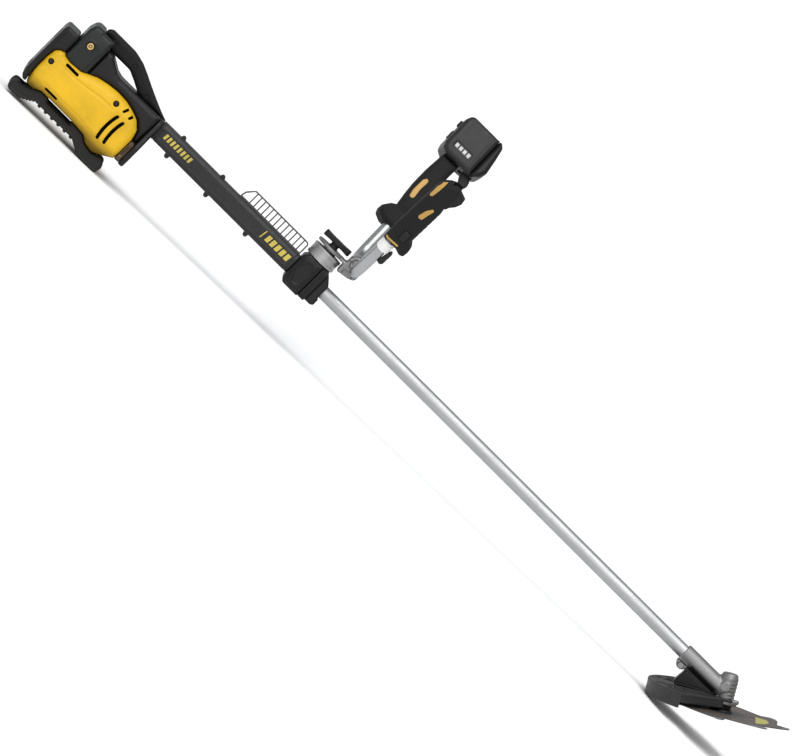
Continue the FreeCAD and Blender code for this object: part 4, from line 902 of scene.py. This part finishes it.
def collar(X, Y, Z):
    d2 = poly(X, Z, COL, 4)
    d = extr(d2, np.abs(Y) - 31, 7)
    d = smax(d, -np.maximum(np.abs(d2 + 6.5) - 0.6, 30 - np.abs(Y)), 0.5)
    dish = np.maximum(extr(np.hypot((X - 722) / 1.0, (Z + 1) / 1.7) - 12.5, 0 * Y - 1, 0) if False else np.hypot(X - 722, (Z + 1) / 1.7) - 12.5, 29.6 - np.abs(Y))
    d = smax(d, -dish, 2.0)
    for x in (706.5, 737.5):
        d = smax(d, -np.maximum(np.hypot(X - x, np.maximum(np.abs(Z + 1) - 22, 0)) - 1.3, 29.2 - np.abs(Y)), 1.0)
    return np.maximum(d, -(np.hypot(Y, Z) - 12.8))


field("collar_block", collar, (700, 743.4, -31.6, 31.6, -37.2, 34.6), 1.05, M["black"], "frame", ["collar_body"])
NOSE = [(757, -31, 1), (757, 28, 1), (760, 28, 4), (773, 14, 5), (773, -13.4, 2), (776, -15.4, 2), (776, -28, 4), (770, -31, 4)]


def nose(X, Y, Z):
    sec = [(-28, -35), (28, -35), (29, -28), (29, 27), (24, 33.4), (-24, 33.4), (-29, 27), (-29, -28)]
    band = extr(poly(Y, Z, sec, 6), np.abs(X - 750.05) - 6.9, 2.2)
    for i in range(4):
        x = 745.6 + 3.1 * i
        band = smax(band, -np.maximum(np.abs(X - x) - 0.55, -(poly(Y, Z, sec, 6) + 1.1)), 0.5)
    n = extr(poly(X, Z, NOSE, 3), np.abs(Y) - 25, 5)
    d = smin(band, n, 1.2)
    return np.maximum(d, -(np.hypot(Y, Z) - 12.8))


field("collar_nose_shell", nose, (743, 776.6, -29.6, 29.6, -35.6, 34), 1.0, M["black2"], "frame", ["collar_nose"])

# ---- bar mount ----------------------------------------------------------------------
PX = 729.5
lathe("mount_base", [(4.4, 34.2), (29.0, 34.2), (30.0, 35.2), (30.0, 40.0), (29.2, 40.6), (29.2, 52.6), (30.0, 53.2), (30.0, 57.0), (29.0, 58.0), (4.4, 58.0), (4.4, 34.2)],
      same, (PX, 0), M["castbright"], "frame", ["handle_base"])


def bracket(X, Y, Z):
    disc = cylz(X, Y, Z, 62.6, 68, 30.4, PX, 0, 1.4)
    boss = cylz(X, Y, Z, 58.4, 63.2, 14, PX, 0, 0.6)
    arm = [(752, 62.6, 2), (761.4, 62.6, 2), (761.4, 45, 3), (786, 48.4, 8), (797.5, 54, 8), (798.5, 74.8, 1), (764.5, 74.8, 1), (764.5, 68, 3), (752, 68, 2)]
    a = extr(poly(X, Z, arm, 2), np.abs(Y) - 21, 3)
    a = smax(a, -rbox(X, Y, Z, 770, 790, -30, -15, 40, 58, 2) , 2)
    a = smax(a, -rbox(X, Y, Z, 770, 790, 15, 30, 40, 58, 2), 2)
    d = smin(smin(disc, boss, 1), a, 3)
    d = np.maximum(d, -np.maximum(np.hypot(X - PX, Y) - 31.2, Z - 62.5)) if False else d
    cut = np.maximum(np.hypot(X - PX, Y) - 31.0, np.abs(Z - 50) - 12.4)
    cut = np.maximum(cut, 14.2 - np.hypot(X - PX, Y))
    d = np.maximum(d, -cut)
    d = np.maximum(d, -(np.hypot(X - PX, Y) - 4.4))
    return np.maximum(d, -(np.hypot(X - 781.5, Z - 75) - 11.1))


field("swivel_casting", bracket, (699, 799.4, -31.4, 31.4, 44.6, 75.6), 0.9, M["cast"], "swivel", ["swivel_bracket"])


def cap(X, Y, Z):
    d = np.maximum(extr(np.hypot(X - 781.5, Z - 75) - 16.4, np.abs(Y) - 21, 2.5), 75.2 - Z)
    d = smin(d, rbox(X, Y, Z, 764.8, 798.2, -21, 21, 75.2, 80, 1.4), 2)
    d = np.maximum(d, -(np.hypot(X - 781.5, Z - 75) - 11.1))
    for x in (767.4, 795.6):
        for y in (-15, 15):
            d = smin(d, cylz(X, Y, Z, 79, 82.4, 2.6, x, y, 0.6), 0.4)
            d = smax(d, -cylz(X, Y, Z, 80.8, 84, 1.3, x, y), 0.3)
    return d


field("bar_clamp_cap", cap, (764.6, 798.6, -21.6, 21.6, 75, 92.4), 0.8, M["cast"], "swivel", ["bar_cap"])


def knob(X, Y, Z):
    x = X - PX
    # two broad wings that thin towards their tips
    half_t = 5.1 + 1.2 * np.clip((np.abs(x) - 12) / 16.0, 0, 1) ** 1.5
    plan = poly(x, Y, [(-30, -6, 6), (-30, 6, 6), (-12, 9, 14), (12, 9, 14), (30, 6, 6), (30, -6, 6), (12, -9, 14), (-12, -9, 14)], 5)
    d = extr(plan, np.abs(Z - 80.9) - half_t, 2.4)
    d = smin(d, cylz(X, Y, Z, 70.2, 79, 8, PX, 0, 1), 3)
    d = smin(d, cylz(X, Y, Z, 68.4, 71, 9.4, PX, 0, 0.6), 0.6)
    d = smax(d, -(np.sqrt((x / 1.0) ** 2 + Y ** 2 + (Z - 91.5) ** 2) - 7.2), 1)
    for s in (-1, 1):
        for i in range(4):
            g = np.hypot(x - s * (15 + i * 3.4), Z - 87.4) - 0.9
            d = smax(d, -np.maximum(g, np.abs(Y) - 5), 0.5)
    return np.maximum(d, -(np.hypot(x, Y) - 4.0))


field("wing_knob", knob, (699, 760, -10, 10, 68, 87.6), 0.75, M["black2"], "clamp_knob", ["knob"])

# ---- grips --------------------------------------------------------------------------
L, R = grip_frame(1), grip_frame(-1)
BX = 781.5
LG = [(766.4, 90, 2), (762.4, 122, 30), (760.2, 150, 30), (760.4, 185, 30), (763.6, 226, 2), (800, 226, 2), (799, 190, 30), (801, 150, 30), (800, 110, 20), (798, 90, 2)]
LF = [(745.2, 72, 7), (749.5, 61, 7), (764, 54.2, 8), (800, 54.2, 6), (806, 62, 5), (803, 80, 8), (799, 94, 4), (765.6, 94, 4), (756, 88, 8)]


def lgrip(X, Y, Z):
    g = extr(poly(X, Z, LG, 4), np.abs(Y) - 17, 13)
    fl = extr(poly(X, Z, LF, 4), np.abs(Y) - 19.5, 9)
    d = smin(g, fl, 5)
    for i in range(9):                                   # finger ribs up the front
        z = 112 + i * 11.5
        rib = np.hypot(np.maximum(796.5 - X, 0), Z - z) - 1.6
        d = smax(d, -np.maximum(np.hypot(X - 801.8, Z - z) - 2.2, np.abs(Y) - 12), 1.6)
    d = np.maximum(d, Z - 226)
    return d


def lgrip_cut(X, Y, Z):
    return np.maximum(lgrip(X, Y, Z), -np.maximum(np.hypot(X - BX, Y) - 11.1, Z - 176))


field("grip_left", lgrip_cut, (744.8, 806.6, -20.2, 20.2, 54, 226), 1.0, M["rubber"], "bar", ["left_grip"], L)
INL_L = [(770, 121, 3), (767.4, 134, 4), (768.4, 160, 4), (773, 168, 3), (778.4, 164, 3), (777, 143, 5), (779, 124, 3), (775, 119, 3)]

RG = [(768.2, 69, 2), (766.6, 100, 20), (766.4, 150, 30), (766.6, 214, 10), (769.6, 228, 8), (780, 238.5, 8), (794, 245.4, 6), (803, 244.6, 5), (806.4, 236, 4), (805, 200, 8), (809.2, 180, 20),
      (809.4, 130, 20), (809.2, 98, 8), (817, 87, 6), (819.2, 78, 6), (818, 67, 4), (810, 64.2, 4), (799, 68.6, 2)]


def rgrip(X, Y, Z):
    d = extr(poly(X, Z, RG, 4), np.abs(Y) - 17, 12)
    for i in range(5):
        z = 122 + i * 12.5
        d = smax(d, -np.maximum(np.hypot(X - 811.6, Z - z) - 2.8, np.abs(Y) - 12), 1.6)
    return d


def rgrip_cut(X, Y, Z):
    d = rgrip(X, Y, Z)
    d = np.maximum(d, -np.maximum(np.hypot(X - BX, Y) - 11.1, Z - 176))
    d = np.maximum(d, -rbox(X, Y, Z, 787.0, 830, -6.6, 6.6, 184.6, 244.6, 1))
    d = np.maximum(d, -rbox(X, Y, Z, 787.0, 800.2, -22, -12.1, 92.6, 115.4, 1))
    seam = np.maximum(np.abs(Y - 0.0) - 0.45, X - 772)
    return smax(d, -np.maximum(seam, -(rgrip(X, Y, Z) + 0.8)), 0.4)


field("grip_right", rgrip_cut, (766, 819.8, -17.4, 17.4, 64, 252.6), 1.0, M["rubber"], "bar", ["right_grip"], R)
INL_R = [[(769.4, 196, 3), (769.2, 220, 6), (774.4, 241, 3), (778, 239, 3), (777.4, 220, 6), (775.6, 201, 4)],
         [(789, 146, 3), (786.4, 150, 3), (790, 168, 5), (797, 180, 3), (801, 177, 3), (798, 162, 5), (796, 148, 3)]]
INL_R[1] = [(q[0] - 3.0, q[1] + 4.0) + tuple(q[2:]) for q in INL_R[1]]
INL_S = [(770, 75.6, 1), (770, 80.2, 1), (798, 82.4, 1), (798, 77.8, 1)]


def inlay(fn, pts, grow=0.55):
    def f(X, Y, Z):
        g = fn(X, Y, Z)
        d = np.maximum(poly(X, Z, pts, 3), np.abs(g + 0.6) - (0.6 + grow))
        return np.maximum(d, Y + 4) - 0.0
    return f


field("inlay_left", inlay(lgrip, INL_L), (764, 784, -19, -3.5, 116, 171), 0.7, M["gold"], "bar", ["grip_inlays"], L)
for i, q in enumerate(INL_R):
    xs, zs = [p[0] for p in q], [p[1] for p in q]
    field("inlay_right_%d" % i, inlay(rgrip, q), (min(xs) - 1, max(xs) + 1, -19, -3.5, min(zs) - 1, max(zs) + 1), 0.7, M["gold"], "bar", (), R)
field("inlay_strip", inlay(rgrip, INL_S, 0.4), (769, 798, -19, -3.5, 70, 87), 0.7, M["gold"], "bar", (), R)

POD = [(763.6, 226.1, 3), (752.5, 233, 8), (749.2, 243, 10), (749.2, 300, 14), (755, 314.8, 12), (822, 315, 1), (822, 227, 1), (812, 226.4, 2), (800, 226.1, 2)]
COV = [(822.1, 229, 1), (829, 229.4, 6), (839.6, 239, 8), (843.8, 252, 10), (838.6, 285, 30), (834, 308, 10), (827, 315, 7), (822.1, 315, 1)]


def pod(X, Y, Z):
    d = extr(poly(X, Z, POD, 3), np.abs(Y) - 27, 10)
    d = np.maximum(d, X - 821.6)
    sk = d
    d = np.maximum(d, -rbox(X, Y, Z, 755, 818, -22, 22, 246, 308, 3))
    d = np.maximum(d, -rbox(X, Y, Z, 803, 824, -6.6, 6.6, 216, 244.4, 0.5))
    d = np.maximum(d, -cylx(X, Y, Z, 740, 757.5, 7.35, 0, 292))
    d = np.maximum(d, -rbox(X, Y, Z, 740, 757.5, -8.4, 8.4, 255.6, 272.4, 3.4))
    # gauge recess on the inner flank, and a line where the cover meets
    g = np.maximum(rbox(X, Y, Z, 763, 803.6, -40, 40, 242.4, 257.6, 3), 26.0 - np.abs(Y))
    d = smax(d, -np.maximum(g, Y), 0.6)
    return smax(d, -np.maximum(np.abs(X - 812) - 0.6, -(sk + 0.9)), 0.5)


field("pod_shell", pod, (748.8, 822, -27.4, 27.4, 225.8, 315.4), 1.15, M["shroudblack"], "bar", ["left_pod"], L)


def cover(X, Y, Z):
    d = extr(poly(X, Z, COV, 3), np.abs(Y) - 26.4, 9)
    d = np.maximum(d, 822.1 - X)
    for i in range(5):
        y = -14 + 7 * i
        g = np.maximum(np.abs(Y - y) - 1.2, np.maximum(np.abs(Z - 276) - 16, 838.0 - X))
        d = smax(d, -g, 0.7)
    return np.maximum(d, -rbox(X, Y, Z, 815, 831, -6.6, 6.6, 216, 244.4, 0.5))


field("pod_front_cover", cover, (822, 844.4, -27, 27, 228.6, 315.6), 1.05, M["black"], "bar", ["pod_cover"], L)
# four-segment charge gauge in the recess, on the side towards the other hand
v, f = [], []
for i in range(4):
    x0, x1, z0, z1 = 766 + i * 9.2, 773 + i * 9.2, 245.5, 254.5
    k = len(v)
    for y in (-25.8, -26.7):
        v += [(x0 + (1.2 if y < -26 else 0), y, z0 + (1.2 if y < -26 else 0)), (x1 - (1.2 if y < -26 else 0), y, z0 + (1.2 if y < -26 else 0)),
              (x1 - (1.2 if y < -26 else 0), y, z1 - (1.2 if y < -26 else 0)), (x0 + (1.2 if y < -26 else 0), y, z1 - (1.2 if y < -26 else 0))]
    f += [(k, k + 1, k + 2, k + 3), (k + 7, k + 6, k + 5, k + 4)] + [(k + 4 + j, k + 4 + (j + 1) % 4, k + (j + 1) % 4, k + j) for j in range(4)]
gauge = make("charge_gauge", to_row(L(v)), f, M["gaugegrey"], "bar", (), smooth=False)
bm = bmesh.new()
bm.from_mesh(gauge.data)
bmesh.ops.recalc_face_normals(bm, faces=bm.faces)
bm.to_mesh(gauge.data)
bm.free()

LEVER = [(806.5, 233, 4), (806.5, 239, 4), (812, 243.2, 4), (818, 240, 4), (823, 229, 4), (833, 224, 4), (835.2, 214, 5), (831, 203, 8), (824, 186, 10), (818, 170, 6), (813, 163, 3),
         (809.8, 167, 3), (813, 183, 10), (818, 200, 10), (817.6, 210, 8), (811, 222, 6)]
TRIG = [(789.6, 229, 3), (789.4, 237, 4), (795, 242, 4), (803, 240, 4), (812, 236, 4), (820.6, 232.6, 3), (822.4, 223, 5), (818.6, 211, 6), (811.8, 201, 6), (809.6, 194, 5), (805.4, 189.6, 2), (802.4, 193, 3), (800.6, 206, 8)]


def finger(pts, px, pz):
    def f(X, Y, Z):
        d2 = poly(X, Z, pts, 3)
        d = extr(d2, np.abs(Y) - 6, 2.4)
        d = smax(d, -np.maximum(np.abs(d2 + 2.6) - 0.4, 5.2 - np.abs(Y)), 0.4)
        return np.maximum(d, -(np.hypot(X - px, Z - pz) - 2.05))
    return f


field("safety_lever", finger(LEVER, 812, 235.5), (806, 835.6, -6.2, 6.2, 162.6, 243.6), 0.7, M["black2"], "lever", ["left_lever"], L)
field("throttle_trigger", finger(TRIG, 795.4, 235), (789, 822.8, -6.2, 6.2, 189, 242.6), 0.65, M["black2"], "throttle", ["trigger"], R)
field("power_cap", lambda X, Y, Z: smax(cylx(X, Y, Z, 745.6, 756, 7, 0, 292, 1.2), -(np.sqrt((X - 738.4) ** 2 + Y ** 2 + (Z - 292) ** 2) - 8.4), 0.8),
      (745.4, 756.2, -7.2, 7.2, 284.8, 299.2), 0.5, M["black2"], "power", ["power_button"], L)
field("speed_cap", lambda X, Y, Z: smax(smax(rbox(X, Y, Z, 746.4, 756, -8, 8, 256, 272, 2.2), -(np.hypot(X - 745.2, Z - 264) - 2.2), 0.8),
      -np.maximum(np.abs(Y) - 0.5, np.maximum(np.abs(np.abs(Z - 264) - 5) - 1.6, X - 747.2)), 0.3),
      (746.2, 756.2, -8.2, 8.2, 255.8, 272.2), 0.5, M["black2"], "speed", ["speed_button"], L)
field("cruise_cap", lambda X, Y, Z: smax(rbox(X, Y, Z, 787.4, 799.8, -18.6, -14.8, 93, 115, 1.2), -(np.sqrt((X - 793.6) ** 2 + (Y + 24) ** 2 + ((Z - 104) / 1.7) ** 2) - 6.6), 0.6),
      (787.2, 800, -18.8, -14.6, 92.8, 115.2), 0.5, M["black2"], "cruise", ["cruise_button"], R)
field("bar_collar", lambda X, Y, Z: np.maximum(smin(cylz(X, Y, Z, 46.6, 64, 13.4, BX + 1.2, 0, 1.2), cylz(X, Y, Z, 63, 68.6, 12.4, BX + 0.6, 0, 0.8), 1.0), -(np.hypot(X - BX, Y) - 11.1)),
      (767, 797, -14, 14, 46, 69), 0.7, M["white"], "bar", ["right_collar"], R)
CLIP = [(791.6, 22, 2), (800, 20, 4), (803.4, 26, 4), (803.4, 50, 4), (799, 56, 3), (795.2, 46.5, 1)]
field("bar_clip", lambda X, Y, Z: np.maximum(smax(extr(poly(X, Z, CLIP, 3), np.abs(Y) - 5, 2), -np.maximum(np.abs(Z - 37) - 1.2, 801.6 - X), 0.8), -(np.hypot(X - BX, Y) - 11.1)),
      (790.6, 804, -5.4, 5.4, 19.6, 56.4), 0.6, M["grey"], "bar", ["cable_clip"], R)

# ---- cutting head -------------------------------------------------------------------
def inv_spin(X, Y, Z):
    a = math.radians(30)
    x = X - SPIN_X
    return x * math.cos(a) + Z * math.sin(a), Y + 0 * X, -x * math.sin(a) + Z * math.cos(a)


def gear(X, Y, Z):
    x, y, z = inv_spin(X, Y, Z)
    body = np.hypot(x, y) - 16.2 + np.maximum(z - 28, 0) * 0.30
    body = extr(body, np.abs(z - 11.5) - 25.6, 3)
    flange = extr(np.hypot(x, y) - 24, np.abs(z + 14.9) - 3.5, 1.4)
    d = smin(body, flange, 3)
    neck = extr(np.hypot(Y, Z) - 16.4, np.abs(X - 1731) - 49, 1.6)
    d = smin(d, neck, 5)
    # clamp lug and its slit, lug at the front with the grease screw, cooling fins
    lug = extr(np.hypot(X - 1693.5, Z + 16.5) - 10.6, np.abs(Y) - 13, 2)
    d = smin(d, lug, 3)
    fl = extr(poly(x, y, [(14, -8), (27, -5), (27, 5), (14, 8)], 3), np.abs(z + 11.4) - 3.0, 1)
    d = smin(d, fl, 2)
    for i in range(5):
        z0 = -6.0 + 6.6 * i
        fin = extr(np.hypot(x, y) - 16.75 + np.maximum(z0 - 20, 0) * 0.14, np.abs(z - z0) - 1.1, 0.6)
        fin = np.maximum(fin, 5 - x)
        d = smin(d, fin, 1.2)
    for sy in (-1, 1):
        boss = extr(np.hypot(x + 4, z - 12) - 9.0, np.abs(Y - sy * 15.2) - 1.6, 0.8)
        d = smin(d, boss, 2)
    d = smin(d, extr(np.abs(Y) - 2.2, np.maximum(np.hypot(X - 1744, Z) - 19.0, np.abs(X - 1737) - 22) + 0 * Y, 0.6) if False else d, 1)
    d = np.maximum(d, -np.maximum(np.hypot(x, y) - 12.25, z - 33) - 0 * X)
    d = np.maximum(d, -np.maximum(np.hypot(Y, Z) - 12.8, X - 1742))
    d = smax(d, -np.maximum(np.abs(Z + 14.6) - 0.9, np.maximum(X - 1704, np.abs(Y) - 15)), 0.4)
    d = smax(d, -cyly(X, Y, Z, -20, -12.2, 6.0, 1693.5, -20.6), 0.6)
    return d


field("gear_casting", gear, (1681.4, 1818, -25, 25, -33, 40), 1.0, M["cast"], "frame", ["gear_case"])

ZC = 28.0 / math.cos(math.radians(30))


def guard(x, y, z):
    r = np.hypot(x, y)
    ang = np.abs(np.arctan2(y, -x))
    A = math.radians(55)
    side_d = r * np.sin(np.clip(ang - A, -1.5, 1.5))
    # straight flanks run from the arc's ends to the hub
    fan = poly(x, y, [(-140.4 * math.cos(A), -140.4 * math.sin(A)), (2, -27), (2, 27), (-140.4 * math.cos(A), 140.4 * math.sin(A)), (-260, 150), (-260, -150)], 0)
    foot = np.maximum(fan, r - 140.4)
    top = extr(foot, np.abs(z + 9.45) - 1.85, 0.9)
    wall = np.maximum(np.maximum(np.abs(r - 138.7) - 1.7, fan), np.abs(z + 20.9) - 13.3)
    d = smin(top, wall, 3)
    hub = extr(r - 27, np.abs(z + 9.45) - 1.85, 0.8)
    d = smin(d, hub, 2)
    for rr in (94, 116):
        rib = np.maximum(np.maximum(np.abs(r - rr) - 1.7, foot + 2), np.abs(z + 6.6) - 1.3)
        d = smin(d, rib, 1.2)
    for a in (-36, -18, 18, 36):
        ca, sa = -math.cos(math.radians(a)), math.sin(math.radians(a))
        w = np.abs(-x * sa + y * ca)
        t = x * ca + y * sa
        rib = np.maximum(np.maximum(np.maximum(w - 1.4, np.abs(t - 82) - 50), foot + 2), np.abs(z + 6.9) - 1.1)
        d = smin(d, rib, 1.2)
    lip = np.maximum(np.maximum(np.abs(r - 139.2) - 1.2, fan), np.abs(z + 33.2) - 1.0)
    d = smin(d, lip, 0.8)
    flange = np.maximum(np.maximum(np.maximum(np.abs(fan + 1.6) - 1.6, r - 139), np.abs(z + 16.6) - 8.0), x + 1.0)
    d = smin(d, flange, 1.5)
    d = np.maximum(d, -(r - 15.5 + 0 * z))
    return np.maximum(d, np.where(x > 15, x - 15, -1e3))


field("guard_shell", guard, (-141.2, 16, -116, 116, -35, -4.6), 1.3, M["guardgrey"], "frame", ["guard"], spin_frame)


def gbracket(X, Y, Z):
    pts = [(1705.8, -17.4, 3), (1762, -17.4, 1), (1770.4, -17.2, 1), (1708.2, -53.2, 5), (1703.6, -46, 6)]
    d2 = poly(X, Z, pts, 2)
    d = extr(d2, np.abs(Y) - 13, 2)
    clamp = np.maximum(np.maximum(np.abs(np.hypot(Y, Z) - 18.0) - 1.3, np.abs(X - 1738) - 30), Z + 6.5)
    d = smin(d, clamp, 3)
    d = smax(d, -np.maximum(np.abs(d2 + 3.4) - 0.5, 12.4 - np.abs(Y)), 0.5)
    x, y, z = inv_spin(X, Y, Z)
    d = np.maximum(d, -(z + 7.5))
    return np.maximum(d, -(np.hypot(Y, Z) - 16.7))


field("guard_mount", gbracket, (1703, 1771, -20, 20, -54, -5), 0.95, M["black"], "frame", ["guard_bracket"])

lathe("blade_receiver", [(6.0, -ZC + 11.5), (15.6, -ZC + 11.5), (17.0, -ZC + 10.4), (17.0, -ZC + 8.6), (15.8, -ZC + 8.2), (15.8, -ZC + 6.8), (17.2, -ZC + 6.2), (20.6, -ZC + 3.0), (21.5, -ZC + 1.8), (21.5, -ZC + 1.0),
                         (12.7, -ZC + 1.0), (12.7, -ZC - 0.8), (6.0, -ZC - 0.8), (6.0, -ZC + 11.5)], spin_frame, (0, 0), M["darksteel"], "spindle", ["receiver_cup"])
zb = -ZC - 1.0
lathe("clamp_disc", [(6.0, zb), (20.4, zb), (21.0, zb - 0.6), (21.0, zb - 1.8), (20.0, zb - 2.6), (15.6, zb - 3.2), (15.0, zb - 4.6), (14.0, zb - 5.4), (6.0, zb - 5.4), (6.0, zb)], spin_frame, (0, 0), M["darksteel"], "spindle",
      ["clamp_washer"])


def nut(x, y, z):
    nz = zb - 5.4
    h = np.maximum(np.abs(y), np.maximum(np.abs(0.5 * y + 0.8660254 * x), np.abs(-0.5 * y + 0.8660254 * x))) - 9.5
    body = np.maximum(h, np.abs(z - (nz - 5.3)) - 3.7)
    body = np.maximum(body, np.hypot(x, y) - 10.4 + (np.maximum(-(z - (nz - 5.3)) - 2.6, 0)) * 1.4)
    d = smin(body, extr(np.hypot(x, y) - 11, np.abs(z - (nz - 0.9)) - 0.9, 0.4), 0.4)
    return np.maximum(d, -(np.hypot(x, y) - 6.05))


field("hex_nut", nut, (-11.2, 11.2, -11.2, 11.2, zb - 15, zb - 5.2), 0.45, M["steel"], "spindle", ["blade_nut"], spin_frame)

# blade: saw-toothed disc with relief holes and ground cutting edges
tooth = [(104, 0), (126.2, 2.5), (127.5, 8), (119, 17), (108, 30), (103.6, 41)]
bp = []
for i in range(8):
    for r, a in tooth:
        t = -math.radians(45 * i + a)
        bp.append((r * math.cos(t), r * math.sin(t)))
bp.reverse()
holes = [circle(0, 0, 12.7, 64)] + [circle(62 * math.cos(math.radians(90 * i + 20)), 62 * math.sin(math.radians(90 * i + 20)), 7.0, 32) for i in range(4)]


def blade_mat():
    """Dark coated steel, bare along the ground teeth, with a plain yellow band printed between two radii, and painted
    shade darkening the coat towards the hub.
    """
    m, nt, b = base_mat("coated_blade")
    tc = N(nt, "ShaderNodeTexCoord").outputs["Object"]
    c0 = to_row(spin_frame([(0, 0, -ZC)]))[0]
    ax = to_row(spin_frame([(0, 0, -ZC + 1000)]))[0] - c0
    sub = N(nt, "ShaderNodeVectorMath")
    sub.operation = "SUBTRACT"
    sub.inputs[1].default_value = tuple(c0)
    nt.links.new(tc, sub.inputs[0])
    dist = N(nt, "ShaderNodeVectorMath")
    dist.operation = "LENGTH"
    nt.links.new(sub.outputs[0], dist.inputs[0])
    r = dist.outputs["Value"]
    n1 = noise(nt, tc, 60, 4, 0.6)
    n2 = noise(nt, tc, 900, 3, 0.6)
    wob = mathn(nt, "ADD", r, maprange(nt, n1, 0.3, 0.7, -0.0015, 0.0015))
    edge = maprange(nt, wob, 0.1135, 0.1165, 0.0, 1.0)
    coat = ramp(nt, n1, [(0.3, (0.062, 0.052, 0.046)), (0.7, (0.096, 0.084, 0.076))])
    sep = N(nt, "ShaderNodeSeparateXYZ")
    nt.links.new(sub.outputs[0], sep.inputs[0])
    # printed band on one sector ahead of the spindle
    band = mathn(nt, "MULTIPLY", mathn(nt, "GREATER_THAN", r, 0.064), mathn(nt, "LESS_THAN", r, 0.088))
    band = mathn(nt, "MULTIPLY", band, mathn(nt, "MULTIPLY", mathn(nt, "GREATER_THAN", sep.outputs[0], 0.055), mathn(nt, "LESS_THAN", sep.outputs[1], 0.030)))
    band = mathn(nt, "MULTIPLY", band, maprange(nt, n2, 0.25, 0.4, 0.75, 1.0))
    # painted shade: the coat darkens towards the hub, where the guard's shadow falls
    coat = mixc(nt, maprange(nt, wob, 0.058, 0.034, 0.0, 0.8), coat, (0.014, 0.013, 0.010))
    col = mixc(nt, band, coat, (0.40, 0.37, 0.08))
    col = mixc(nt, edge, col, (0.16, 0.16, 0.165))
    nt.links.new(col, b.inputs["Base Color"])
    met = mathn(nt, "ADD", 0.25, mathn(nt, "SUBTRACT", mathn(nt, "MULTIPLY", edge, 0.6), mathn(nt, "MULTIPLY", band, 0.2)))
    nt.links.new(met, b.inputs["Metallic"])
    nt.links.new(mathn(nt, "ADD", maprange(nt, n2, 0.3, 0.7, 0.44, 0.60), mathn(nt, "MULTIPLY", edge, -0.16)), b.inputs["Roughness"])
    bump(nt, b, n2, 0.12, 0.0003)
    return m


slab("saw_blade", bp, -ZC - 1.0, -ZC + 1.0, spin_frame, blade_mat(), "spindle", ["blade"], bevel=0.45, holes=holes, plane="xy")

# ---- shading clean-up of the CAD nodes that stay --------------------------------------
for n, o in NODES.items():
    if not o.hide_render:
        for p in o.data.polygons:
            p.use_smooth = True
        bm = bmesh.new()
        bm.from_mesh(o.data)
        bmesh.ops.remove_doubles(bm, verts=bm.verts, dist=1e-7) if False else None
        for e in bm.edges:
            if len(e.link_faces) == 2:
                e.smooth = e.calc_face_angle(0) < math.radians(35)
        bm.to_mesh(o.data)
        bm.free()

# ---- floor, light and camera --------------------------------------------------------
me = bpy.data.meshes.new("floor")
s = 60.0
me.from_pydata([(-s, -s, 0), (s, -s, 0), (s, s, 0), (-s, s, 0)], [], [(0, 1, 2, 3)])
floor = bpy.data.objects.new("floor", me)
bpy.context.scene.collection.objects.link(floor)
fm, nt, b = base_mat("pale_floor")
b.inputs["Base Color"].default_value = (0.97, 0.97, 0.97, 1)
b.inputs["Roughness"].default_value = 0.9
b.inputs["Specular IOR Level"].default_value = 0.1
me.materials.append(fm)

w = bpy.data.worlds.new("studio")
bpy.context.scene.world = w
w.use_nodes = True
wt = w.node_tree
bg = next(n for n in wt.nodes if n.type == "BACKGROUND")
bg.inputs["Color"].default_value = (0.97, 0.98, 1.0, 1)
bg.inputs["Strength"].default_value = 0.55
white = wt.nodes.new("ShaderNodeBackground")
white.inputs["Color"].default_value = (1, 1, 1, 1)
white.inputs["Strength"].default_value = 1.0
lp = wt.nodes.new("ShaderNodeLightPath")
mx = wt.nodes.new("ShaderNodeMixShader")
out = next(n for n in wt.nodes if n.type == "OUTPUT_WORLD")
wt.links.new(lp.outputs["Is Camera Ray"], mx.inputs[0])
wt.links.new(bg.outputs[0], mx.inputs[1])
wt.links.new(white.outputs[0], mx.inputs[2])
wt.links.new(mx.outputs[0], out.inputs["Surface"])


def sun(name, loc, power, angle):
    li = bpy.data.lights.new(name, "SUN")
    li.energy = power
    li.angle = math.radians(angle)
    o = bpy.data.objects.new(name, li)
    o.location = loc
    o.rotation_mode = "QUATERNION"
    o.rotation_quaternion = (-Vector(loc)).to_track_quat("-Z", "Y")
    bpy.context.scene.collection.objects.link(o)
    return o


sun("overhead", (-0.28, -1.0, 1.9), 2.0, 50)
sun("front_soft", (-0.25, -1.8, 0.70), 0.9, 42)

cam_data = bpy.data.cameras.new("camera")
cam = bpy.data.objects.new("camera", cam_data)
bpy.context.scene.collection.objects.link(cam)
bpy.context.scene.camera = cam
DIST = 30.0
XT = Vector((C_, 0, -S_))
ZT = Vector((S_, 0, C_))
cdir = (XT * -0.063 + Vector((0, -1, 0)) + ZT * 0.080).normalized()
look = Vector(to_row([(978.4, 0, -11.7)])[0])
f = -cdir
up = (ZT - XT).normalized()
up = (up - f * up.dot(f)).normalized()
right = f.cross(up)
rot = Matrix((right, up, -f)).transposed()
cam.matrix_world = Matrix.Translation(look + cdir * DIST) @ rot.to_4x4()
cam_data.sensor_width = 36.0
cam_data.lens = 36.0 * DIST / 1.4264 * 1.003
cam_data.clip_start, cam_data.clip_end = 1.0, 300.0
bpy.context.scene.view_settings.view_transform = "Standard"
